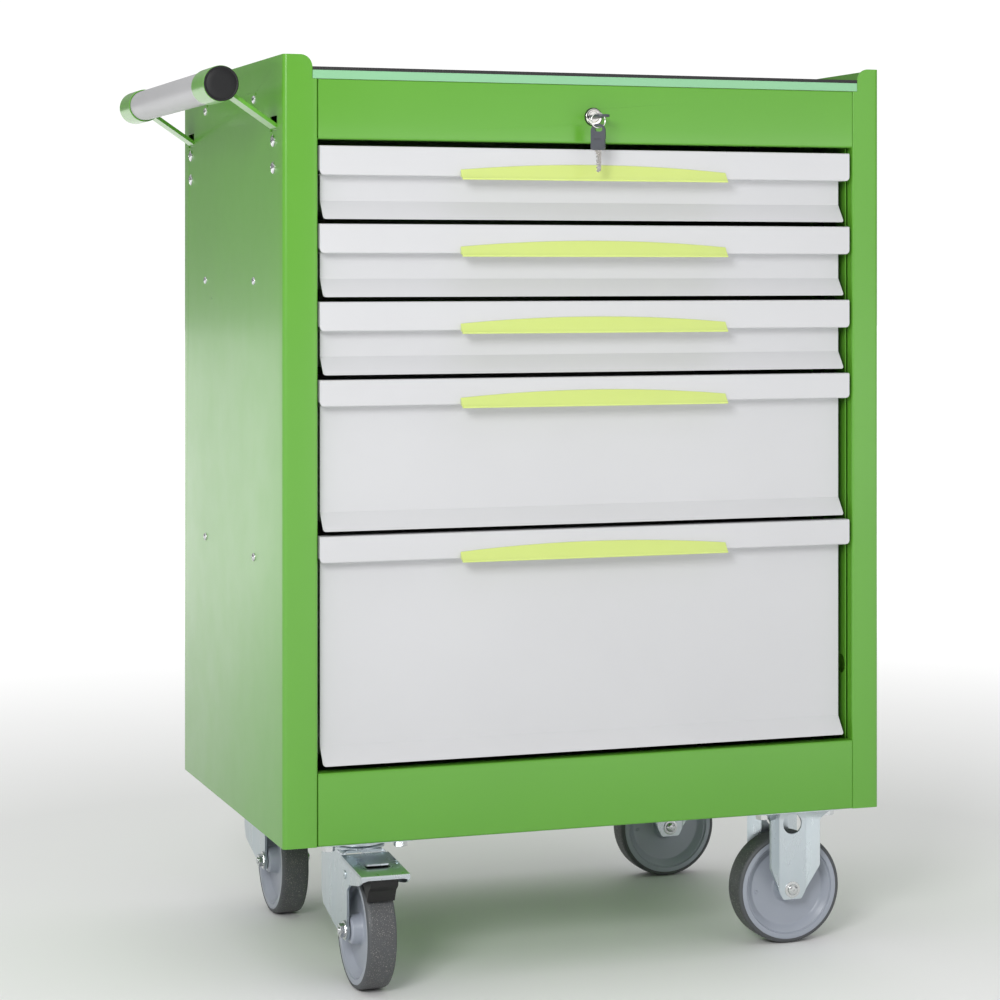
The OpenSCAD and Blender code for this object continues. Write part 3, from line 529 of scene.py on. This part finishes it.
body_w = (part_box("right_side_panel")[1].x - CORNER.x) / MM
rim_z = (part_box("left_side_panel")[1].z - CORNER.z) / MM
arm_low, arm_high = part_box("handle_arms")
arm_ys = [(arm_low.y - CORNER.y) / MM + 14, (arm_high.y - CORNER.y) / MM - 14]
screw_rows("panel_cross_screws", "panel_screws", cross_head(4.4, 2.5, 2.4, 9.0),
           [(y, rim_z - drop) for y in (127, 363) for drop in (40.5, 237.5, 537.5)],
           [(0.0, False), (body_w, True)])
screw_rows("handle_cross_bolts", "handle_bolts", cross_head(6.5, 3.0, 3.9, 12.5),
           [(y, rim_z - drop) for y in arm_ys for drop in (89, 117.5)], [(0.0, False)], nuts=(13, 6, 5.5))


# ------------------------------------------------------------------ handle caps

def end_caps():
    """Black caps on the handle's two ends, slightly domed, with a moulded rim."""
    low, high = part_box("handle_end_caps")
    r = (high.z - low.z) / 2 / MM
    length = (high.y - low.y) / MM
    bm = bmesh.new()
    for start, turn in ((0.0, 90.0), (length, -90.0)):
        place = Matrix.Translation((0, start, 0)) @ Matrix.Rotation(math.radians(turn), 4, "Z")
        profile = [(0.0, 0.0), (r * 0.5, 0.05), (r - 2.6, 0.25), (r - 2.3, 0.5), (r - 2.0, 0.25),
                   *rounded([(r - 1.4, 0.0), (r, 0.0, 0.9), (r, 1.5)], 4)[1:], (r - 1.1, 1.5),
                   (r - 1.1, 11.5), (0.0, 11.5)]
        lathe(bm, profile, place)
    centre = (low + high) / 2
    add_piece("handle_caps", to_mesh(bm, "handle_caps", 40), "cabinet", CAP,
              Matrix.Translation((centre.x, low.y, centre.z)), ["handle_end_caps"])


end_caps()


# ------------------------------------------------------------------ lock and keys

LOCK = middle("lock_barrel")
LOCK_AT = Matrix.Translation((LOCK.x, CORNER.y, LOCK.z))
TO_BACK = Matrix.Rotation(math.radians(90), 4, "Z")      # turns local X to the back


def lock_pieces():
    """The lock's chrome face with a near-black ring round it, its body and nut, and the plug with its cam.
    """
    bm = bmesh.new()
    lathe(bm, [(6.0, -2.2), (6.3, -2.5), (8.3, -2.5), (8.9, -2.2), (9.2, -1.7), (9.3, -0.1), (8.0, 0.0),
               (8.0, 24.0), (6.0, 24.0)], TO_BACK)
    hex_head(bm, 20, 4, Matrix.Translation((0, 5.8, 0)) @ Matrix.Rotation(math.radians(-90), 4, "Z"))
    add_piece("lock_face", to_mesh(bm, "lock_face"), "cabinet", CHROME, LOCK_AT,
              ["lock_barrel"])
    bm = bmesh.new()
    # painted shade: this near-black ring stands for the shadow in the gap round the chrome face and the dark
    # reflection on its bevelled rim
    lathe(bm, rounded([(9.25, -1.5, 0.3), (9.8, -1.2, 0.3), (10.1, -0.05), (9.25, -0.05)], 3), TO_BACK)
    add_piece("lock_painted_shade_ring", to_mesh(bm, "lock_painted_shade_ring"), "cabinet", PAD, LOCK_AT)
    bm = bmesh.new()
    face = -2.9
    lathe(bm, [(0.0, -1.9), (1.1, -1.9), (1.1, face + 0.3), (1.6, face), (5.3, face), (5.85, face + 0.5),
               (5.85, 24.3), (0.0, 24.3)], TO_BACK, steps=64)
    lathe(bm, disc(7.5, 24.3, 26.3), TO_BACK, steps=48)
    lathe(bm, disc(4.0, 26.3, 29.3), TO_BACK, steps=32)
    cam = rounded([(-32, -5.5, 3), (0, -5.5), (0, 5.5), (-32, 5.5, 3)])
    plate(bm, cam, 2, place=Matrix.Translation((0, 25.3, 0)) @ Matrix.Rotation(math.radians(90), 4, "X"))
    add_piece("lock_core_plug", to_mesh(bm, "lock_core_plug"), "lock_core", CHROME, LOCK_AT,
              ["lock_plug"])


BOW_LEN, BOW_W, BOW_T = 28.5, 16.5, 2.6
BLADE_LEN = 24.0


def bow_mesh():
    """A key's plastic bow: foot at Y = 0 and ring hole at the round end, with grip notches."""
    half = BOW_W / 2
    side = [(-5.9, 0.0, 0.8), (5.9, 0.0, 0.8), (half - 0.3, 1.8, 1.5)]
    for k in range(4):
        y = 3.4 + 2.3 * k
        side += [(half, y), (half - 0.8, y + 0.5), (half - 0.8, y + 1.1), (half, y + 1.6)]
    side += [(half, BOW_LEN, half - 0.2), (-half, BOW_LEN, half - 0.2), (-half, 1.8, 1.5)]
    hole_y, hole_r = BOW_LEN - 5.8, 2.7
    hole = rounded([(-3.4, hole_y - hole_r, 2.6), (5.0, hole_y - hole_r, 2.6), (5.0, hole_y + hole_r, 2.6),
                    (-3.4, hole_y + hole_r, 2.6)])
    slot = rounded([(-4.6, 11.0, 0.6), (3.2, 11.0, 0.6), (3.2, 12.4, 0.6), (-4.6, 12.4, 0.6)], 2)
    slot_floor = 0.8
    bm = bmesh.new()
    plate(bm, rounded(side, 8), BOW_T, [hole, slot])
    plate(bm, rounded([(-5.2, 10.4), (3.8, 10.4), (3.8, 13.0), (-5.2, 13.0)], 2), slot_floor)
    rim = rounded([(-5.3, 2.0, 1.0), (5.3, 2.0, 1.0), (5.3, 9.4, 1.0), (-5.3, 9.4, 1.0)])
    plate(bm, rim, BOW_T + 0.5)
    return to_mesh(bm, "bow")


def blade_mesh():
    """A key's blade: milled grooves along it, cuts along one edge and a stepped neck."""
    half, shoulder = 3.25, BLADE_LEN - 2
    outline = [(-half, -3.0), (half, -3.0), (half, 1.5), (half - 0.8, 2.0)]
    for where, depth in zip((0.22, 0.38, 0.55, 0.7, 0.85), (1.4, 2.2, 1.0, 1.9, 1.5)):
        y = where * BLADE_LEN
        outline += [(half - 0.8, y - 1.5), (half - 0.8 - depth, y - 0.5), (half - 0.8 - depth, y + 0.5),
                    (half - 0.8, y + 1.5)]
    outline += [(half - 0.8, shoulder), (0.0, BLADE_LEN), (-half, shoulder)]
    bm = bmesh.new()
    plate(bm, outline, 1.2)
    for x, width in ((-half + 0.9, 1.8), (0.35, 0.9)):
        strip = [(x - width / 2, 1.0), (x + width / 2, 1.0), (x + width / 2, shoulder - 1),
                 (x - width / 2, shoulder - 2)]
        plate(bm, strip, 1.8)
    neck_half = half + 0.4
    neck = rounded([(-neck_half, -2.0), (neck_half, -2.0), (neck_half, 1.6, 0.3), (-neck_half, 1.6, 0.3)], 2)
    plate(bm, neck, 2.1)
    return to_mesh(bm, "blade")


def keys():
    """The key in the lock and the spare one, which hangs from the ring."""
    shoulder_y = (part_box("lock_key")[0].y - CORNER.y) / MM + BOW_LEN
    held = LOCK_AT @ Matrix.Translation((0, shoulder_y * MM, 0))
    bow, blade = bow_mesh(), blade_mesh()
    flip = Matrix.Rotation(math.pi, 4, "Z")
    add_piece("lock_key_bow", bow, "lock_core", BOW, held @ flip, ["lock_key"], soft=0.55)
    add_piece("lock_key_blade", blade, "lock_core", BLADE, held, soft=0.12)
    low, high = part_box("spare_key")
    spare_turn = math.radians(-41)
    hang = Matrix.Translation(((low.x + high.x) / 2, (low.y + high.y) / 2, high.z - BOW_LEN * MM))
    hang = hang @ Matrix.Rotation(spare_turn, 4, "Z") @ Matrix.Rotation(math.radians(90), 4, "X")
    add_piece("spare_key_bow", bow, "spare_key", BOW, hang, ["spare_key"], soft=0.55)
    add_piece("spare_key_blade", blade, "spare_key", BLADE, hang @ flip, soft=0.12)


lock_pieces()
keys()


# ------------------------------------------------------------------ wheels

def facing(side):
    """Turns a piece about X to face that side."""
    return Matrix.Rotation(0.0 if side > 0 else math.pi, 4, "Z")


def hub_mesh():
    """A moulded hub about X: raised rim, groove, dished web with a moulding pip, and boss."""
    rim, groove, dish, web, boss = 15.6, 14.6, 9.0, 6.6, 20.0
    half = [(6.1, boss), (12.6, boss, 0.8), (14.5, boss - 2, 1.0), (16.5, web + 0.4, 3.0), (43.0, web, 3.0),
            (46.5, dish + 1.5, 2.0), (49.5, groove - 1.2, 1.2), (50.5, groove - 0.6), (51.1, groove - 1.0),
            (51.7, groove - 0.5), (52.2, rim, 0.4), (57.45, rim, 0.3)]
    mirrored = [(point[0], -point[1], *point[2:]) for point in reversed(half)]
    bm = bmesh.new()
    lathe(bm, rounded(half + mirrored, 4))
    pip_profile = [(0.0, -0.4), (2.2, -0.4), (2.2, 0.5), (1.7, 0.9), (1.2, 0.5), (0.7, 0.4), (0.0, 0.9)]
    for side in (-1, 1):
        lathe(bm, pip_profile, Matrix.Translation((side * web, 37.0, -4.0)) @ facing(side), 24)
    return to_mesh(bm, "hub", 35)


def tyre_mesh():
    """A solid tyre about X, with round shoulders and a slightly crowned tread."""
    r, half = 62.5, 16.0
    tread = [(r - 0.35 * (x / half) ** 2, x) for x in (-8.0, 0.0, 8.0)]
    profile = rounded([(57.5, -half + 0.3), (r - 4, -half, 0.8), (r - 1.3, -half + 1.2, 2.0),
                       (r - 0.25, -half + 4.2, 3.0), *tread, (r - 0.25, half - 4.2, 3.0),
                       (r - 1.3, half - 1.2, 2.0), (r - 4, half, 0.8), (57.5, half - 0.3)], 4)
    bm = bmesh.new()
    lathe(bm, profile)
    return to_mesh(bm, "tyre", 40)


def wheels():
    hub, tyre = hub_mesh(), tyre_mesh()
    for place in ("front_left", "rear_left", "front_right", "rear_right"):
        centre = Matrix.Translation(middle(f"tyre_{place}"))
        if place.endswith("right"):
            centre = centre @ Matrix.Rotation(math.radians(90), 4, "Z")
        body = f"wheel_{place}"
        add_piece(f"hub_moulding_{place}", hub, body, HUB, centre, [f"hub_{place}"])
        add_piece(f"tyre_ring_{place}", tyre, body, TYRE, centre, [f"tyre_{place}"])


# ------------------------------------------------------------------ casters
# A caster's own frame has Z = 0 under the cabinet and Y = 0 at the swivel axis.

FORK_IN, SHEET = 21.5, 2.5
FORK_OUT = FORK_IN + SHEET
AXLE_Z = (middle("tyre_front_left").z - CORNER.z) / MM
TRAIL = 38.0
PIVOT = (-46.0, -33.0)
WHEEL_AXLE_R = 6.0
UPRIGHT = Matrix(((0, 0, 1, 0), (1, 0, 0, 0), (0, 1, 0, 0), (0, 0, 0, 1)))     # lays XY into YZ


def caster_place(wheel, trail):
    centre = middle(f"tyre_{wheel}")
    return Matrix.Translation((centre.x, centre.y + trail * MM, CORNER.z))


def axle_parts(bm, place, domed):
    """An axle along X through a fork, with a washer and a nut, or a pressed dome, on each end."""
    lathe(bm, disc(WHEEL_AXLE_R, -FORK_OUT, FORK_OUT), place, SMALL_ROUND_STEPS)
    for side in (-1, 1):
        end = place @ facing(side) @ Matrix.Translation((FORK_OUT, 0, 0))
        if domed:
            dome = [(0.0, 0.0), (9.2, 0.0), (9.2, 0.7, 0.3), (6.2, 0.9, 0.3), (6.0, 0.4), (5.6, 0.4),
                    (5.4, 2.2, 0.6), (3.0, 3.4, 1.0), (1.2, 3.5), (0.9, 3.0), (0.0, 2.9)]
            lathe(bm, rounded(dome, 3), end, 48)
        else:
            lathe(bm, disc(10.0, 0.0, 1.4), end, 48)
            hex_head(bm, 13, 6.4, end @ Matrix.Rotation(0.35, 4, "X"))
            lathe(bm, disc(3.9, 6.0, 8.0, 0.6), end, 32)


def swivel_fork_mesh():
    """A fork folded from one sheet: two legs, round bends and the crown with its race."""
    crown_z, bend_r, quarter = -12.0 - SHEET / 2, 4.0, math.pi / 2
    flat = FORK_IN + SHEET / 2 - bend_r
    tip_r, leg_x = 11.0, flat + bend_r * quarter

    def develop(y, z, *radius):
        """A point of a leg, laid flat: distance from the fork's middle, then Y."""
        return (leg_x + (crown_z - bend_r) - z, y, *radius)

    tip = [develop(-TRAIL + tip_r * math.cos(q), AXLE_Z + tip_r * math.sin(q))
           for q in [math.radians(a) for a in range(-223, -54, 14)]]
    ear = PIVOT[0] - 8
    right = [(flat, -30.0, 2), develop(-33, -19, 2), develop(-44, -21, 3), develop(ear, -28, 4),
             develop(ear, -44, 4), develop(-46, -50, 3), *tip, develop(-5, -99, 20), develop(49, -84, 6),
             develop(56, -70, 8), develop(56, -34, 6), develop(54, -20, 4), (leg_x, 50.0, 3), (flat, 50.0)]
    left = [(-p[0], *p[1:]) for p in reversed(right)]
    pattern = rounded(right + left, 5)
    bm = bmesh.new()
    plate(bm, pattern, SHEET)
    for side in (-1, 1):
        cut_across(bm, [side * c for c in bend_cuts(flat, bend_r, quarter)], 0)
    for vert in bm.verts:
        s, y, above = vert.co
        x, z = bent(abs(s), above, flat, bend_r, quarter)
        vert.co = (math.copysign(x, s), y, z + crown_z)
    up = Matrix.Rotation(math.radians(-90), 4, "Y")
    lathe(bm, [(0.0, -12.5), (30.0, -12.5), (30.0, -10.6), (29.0, -9.4), (27.5, -9.0), (0.0, -9.0)], up)
    return to_mesh(bm, "swivel_fork")


def swivel_axle_mesh():
    bm = bmesh.new()
    axle_parts(bm, Matrix.Translation((0, -TRAIL, AXLE_Z)), domed=False)
    return to_mesh(bm, "swivel_axle")


def pedal_mesh():
    """A foot pedal astride the fork: tread with a window and a tongue, a lip that turns down and
    droops at its ends, cheeks outside the legs, and pins."""
    thick, back, tip = 2.0, (-31.0, -16.5), (-109.0, -23.5)
    half = FORK_OUT + 0.3 + thick
    slope = math.atan2(back[1] - tip[1], back[0] - tip[0])
    flat = math.dist(back, tip) - 2.0
    bend_r, bend_angle, lip_end = 2.2, math.radians(78), 6.5
    outline = rounded([(-half, 0.0), (half, 0.0), (half, flat + lip_end, 1.5), (half - 7, flat + 4.6, 4),
                       (7 - half, flat + 4.6, 4), (-half, flat + lip_end, 1.5)])
    window = rounded([(-13, 36, 2.5), (13, 36, 2.5), (13, 52, 2.5), (-13, 52, 2.5)])
    bm = bmesh.new()
    plate(bm, outline, thick, [window])
    cut_across(bm, bend_cuts(flat, bend_r, bend_angle), 1)
    # the tongue rises from the window's back edge
    tongue = rounded([(-12, 0.0), (12, 0.0), (12, 15.0, 2), (-12, 15.0, 2)])
    tilt = Matrix.Translation((0, 36.5, 0.4)) @ Matrix.Rotation(math.radians(14), 4, "X")
    plate(bm, tongue, thick * 0.8, place=tilt)
    for vert in bm.verts:
        x, s, above = vert.co
        along, up = bent(s, above, flat, bend_r, bend_angle)
        vert.co = (x, back[0] - along * math.cos(slope) - up * math.sin(slope),
                   back[1] - along * math.sin(slope) + up * math.cos(slope))
    cheek = rounded([(-30, -17, 1), (-109, -24, 2), (-106, -30.5, 3), (-98, -34, 4), (-45, -44, 8),
                     (-36, -40, 6), (-30, -24, 2)])
    for side in (-1, 1):
        x = side * (half - thick / 2)
        plate(bm, cheek, thick, place=Matrix.Translation((x, 0, 0)) @ UPRIGHT)
        pin = rounded([(0.0, FORK_IN - 1), (3.0, FORK_IN - 1), (3.0, half), (4.6, half + 0.05, 0.2),
                       (4.4, half + 0.9, 0.5), (1.6, half + 1.2), (0.9, half + 0.7), (0.0, half + 0.7)], 3)
        lathe(bm, pin, Matrix.Translation((0, *PIVOT)) @ facing(side), SMALL_ROUND_STEPS)
    return to_mesh(bm, "pedal")


def pad_mesh():
    """The rubber brake pad under the pedal, hollowed to the tyre."""
    half, gap_r = 15.0, 67.0
    arc = []
    for k in range(7):
        q = math.radians(104 + 6.5 * k)
        arc.append((-TRAIL + gap_r * math.cos(q), AXLE_Z + gap_r * math.sin(q)))
    outline = rounded([(-66, -21.0, 1.5), *arc, (-97, -41.0, 3), (-104, -35.5, 5), (-105.5, -25.0, 2)][::-1])
    bm = bmesh.new()
    plate(bm, outline, 2 * half, place=UPRIGHT)
    return to_mesh(bm, "brake_pad")


def fixed_fork_mesh():
    """A fixed fork: the top plate and two legs, whose sides are bent away from the wheel."""
    bm = bmesh.new()
    holes = [circle(sx * 40, sy * 30, 4.5) for sx in (-1, 1) for sy in (-1, 1)]
    corner = 8.0
    rim = rounded([(-52.5, -42.5, corner), (52.5, -42.5, corner), (52.5, 42.5, corner),
                   (-52.5, 42.5, corner)])
    plate(bm, rim, 3.5, holes, Matrix.Translation((0, 0, -1.75)))
    leg_half, top = 33.0, -3.5
    foot, waist, tip_half = 9.0, -66.0, 11.0
    leg = rounded([(-leg_half - foot, top), (leg_half + foot, top), (leg_half, top - 11, 9),
                   (leg_half, waist, 10), (tip_half, AXLE_Z - 11, 3), (-tip_half, AXLE_Z - 11, 3),
                   (-leg_half, waist, 10), (-leg_half, top - 11, 9)])
    window = circle(0, -19.5, 11.5)
    bend_from, bend_r, bend_angle = 15.0, 5.5, math.radians(32)
    for side in (0.0, 180.0):
        part = bmesh.new()
        plate(part, leg, SHEET, [window])
        for sign in (-1, 1):
            cut_across(part, [sign * c for c in bend_cuts(bend_from, bend_r, bend_angle)], 0)
        cut_across(part, [-8.0, -12.0, -17.0], 1)
        for vert in part.verts:
            x, z, above = vert.co
            along, dip = bent(abs(x), -above, bend_from, bend_r, bend_angle)
            flare = 5.0 * max(0.0, 1 - (top - z) / 11.0) ** 2
            vert.co = (math.copysign(along, x), -(FORK_IN + SHEET / 2 - dip + flare), z)
        temp = bpy.data.meshes.new("leg")
        part.to_mesh(temp)
        part.free()
        join(bm, temp, Matrix.Rotation(math.radians(side), 4, "Z"))
        bpy.data.meshes.remove(temp)
    return to_mesh(bm, "fixed_fork")


def fixed_axle_mesh():
    bm = bmesh.new()
    axle_parts(bm, Matrix.Translation((0, 0, AXLE_Z)) @ TO_BACK, domed=True)
    return to_mesh(bm, "fixed_axle")


def both(meshes_at):
    """Joins metre meshes at several places into one mesh."""
    bm = bmesh.new()
    for mesh, place in meshes_at:
        join(bm, mesh, place)
    mesh = bpy.data.meshes.new(meshes_at[0][0].name + "_pair")
    bm.to_mesh(mesh)
    bm.free()
    return mesh


def plate_bolts(places):
    """Hexagon bolts with washers under the caster plates, and their nuts on the cabinet's floor."""
    bm = bmesh.new()
    down = Matrix.Rotation(math.radians(90), 4, "Y")
    for place in places:
        for sx in (-1, 1):
            for sy in (-1, 1):
                spot = place.translation - CORNER
                at = Matrix.Translation((spot.x / MM + 40 * sx, spot.y / MM + 30 * sy, 0))
                lathe(bm, disc(7.6, 3.5, 4.9), at @ down, 36)
                turn = Matrix.Rotation(0.7 * sx + 1.3 * sy, 4, "X")
                hex_head(bm, 13, 5.3, at @ down @ Matrix.Translation((4.9, 0, 0)) @ turn)
                lathe(bm, disc(3.9, -10.0, 3.5, 0.6), at @ down, 24)
                nut = at @ Matrix.Rotation(math.radians(-90), 4, "Y") @ Matrix.Translation((1.5, 0, 0))
                hex_head(bm, 13, 6.5, nut)
    add_piece("plate_bolts", to_mesh(bm, "plate_bolts"), "cabinet", BOLT,
              Matrix.Translation(CORNER), ["caster_bolts"])


def casters():
    swivel = {end: caster_place(f"{end}_left", TRAIL) for end in ("front", "rear")}
    fixed = {end: caster_place(f"{end}_right", 0.0) for end in ("front", "rear")}
    fork, axle, pedal, pad = swivel_fork_mesh(), swivel_axle_mesh(), pedal_mesh(), pad_mesh()
    for end, place in swivel.items():
        add_piece(f"fork_{end}", fork, f"swivel_{end}", ZINC, place,
                  [f"swivel_fork_{end}"], soft=0.4)
        add_piece(f"axle_{end}", axle, f"swivel_{end}", BOLT, place,
                  [f"swivel_axle_{end}"])
        add_piece(f"pedal_{end}", pedal, f"brake_{end}", ZINC, place,
                  [f"brake_pedal_{end}"], soft=0.4)
        add_piece(f"brake_pad_{end}", pad, f"brake_{end}", PAD, place, soft=1.2)
    fixed_fork, fixed_axle = fixed_fork_mesh(), fixed_axle_mesh()
    add_piece("fixed_forks", both([(fixed_fork, p) for p in fixed.values()]), "cabinet", ZINC,
              stands_for=["fixed_caster_forks"], soft=0.4)
    add_piece("fixed_axles", both([(fixed_axle, p) for p in fixed.values()]), "cabinet", BOLT,
              stands_for=["fixed_caster_axles"])
    plate_bolts([*swivel.values(), *fixed.values()])


wheels()
casters()


# ------------------------------------------------------------------ studio

def glowing_floor_paint():
    """White paint with a painted glow that grows with the distance, so that the floor has no horizon."""
    glow_near, glow_far, near, far = 0.0, 0.80, 0.9, 4.0
    mat = surface("glowing_floor_paint", (0.82, 0.82, 0.82), 0.6, patch=0.5, grain=60.0, depth=0.01,
                  Emission_Color=(1.0, 1.0, 1.0, 1.0))
    tree = mat.node_tree
    away = add_node(tree, "VectorMath", {"operation": "LENGTH"})
    tree.links.new(add_node(tree, "TexCoord").outputs["Object"], away.inputs[0])
    # painted glow: the floor's emission rises from none near the cart to bright far away
    glow = spread(tree, away.outputs["Value"], glow_near, glow_far, near, far)
    tree.links.new(glow, tree.nodes["Principled BSDF"].inputs["Emission Strength"])
    return mat


def floor():
    """A plain pale floor, with a painted glow further out."""
    size, z = 30.0, CAD_BOX[0].z - 0.05 * MM
    bm = bmesh.new()
    bmesh.ops.create_grid(bm, x_segments=8, y_segments=8, size=size)
    mesh = bpy.data.meshes.new("floor")
    bm.to_mesh(mesh)
    bm.free()
    obj = bpy.data.objects.new("floor", mesh)
    obj.location = (0, 0, z)
    bpy.context.scene.collection.objects.link(obj)
    mesh.materials.append(glowing_floor_paint())


def world_light():
    """A white studio: brightest overhead, dimmest on the camera's side, with a white backdrop."""
    front, back, overhead, backdrop = 0.18, 0.28, 0.80, 1.05
    world = bpy.data.worlds.new("studio")
    bpy.context.scene.world = world
    world.use_nodes = True
    tree = world.node_tree
    toward = add_node(tree, "TexCoord").outputs["Generated"]
    parts = add_node(tree, "SeparateXYZ", Vector=toward)
    around = spread(tree, parts.outputs["Y"], front, back, -0.5, 0.3)
    above = spread(tree, parts.outputs["Z"], 0.0, overhead, 0.15, 0.85)
    level = add_node(tree, "Math", {"operation": "ADD"})
    tree.links.new(around, level.inputs[0])
    tree.links.new(above, level.inputs[1])
    seen = add_node(tree, "LightPath").outputs["Is Camera Ray"]
    shown = add_node(tree, "Mix", {"data_type": "FLOAT"})
    tree.links.new(seen, shown.inputs[0])
    tree.links.new(level.outputs[0], shown.inputs[2])
    shown.inputs[3].default_value = backdrop
    background = tree.nodes["Background"]
    background.inputs["Color"].default_value = (1, 1, 1, 1)
    tree.links.new(shown.outputs[0], background.inputs["Strength"])


def softbox(name, size, power, place, target):
    """A square area light that faces a target. Metres and watts."""
    data = bpy.data.lights.new(name, "AREA")
    data.shape = "RECTANGLE"
    data.size, data.size_y = size
    data.energy = power
    lamp = bpy.data.objects.new(name, data)
    lamp.location = place
    lamp.rotation_euler = (Vector(target) - Vector(place)).to_track_quat("-Z", "Y").to_euler()
    bpy.context.scene.collection.objects.link(lamp)


def camera():
    """The camera stands to the left of the cart and looks level, framed a little low."""
    data = bpy.data.cameras.new("camera")
    data.lens = 96.28
    data.sensor_width = 36.0
    data.shift_y = -0.2296
    data.clip_end = 100.0
    cam = bpy.data.objects.new("camera", data)
    cam.location = CORNER + Vector((-0.695, -2.708, 0.604))
    cam.rotation_euler = (math.radians(90), 0.0, math.radians(-19.03))
    bpy.context.scene.collection.objects.link(cam)
    bpy.context.scene.camera = cam


floor()
world_light()
softbox("key", (0.9, 0.9), 50.0, (-1.70, -2.53, 1.70), (0.0, -0.1, 0.5))
softbox("fill", (2.0, 1.6), 9.0, (1.6, -3.0, 1.0), (0.1, 0.0, 0.5))
camera()
bpy.context.scene.view_settings.view_transform = "Standard"
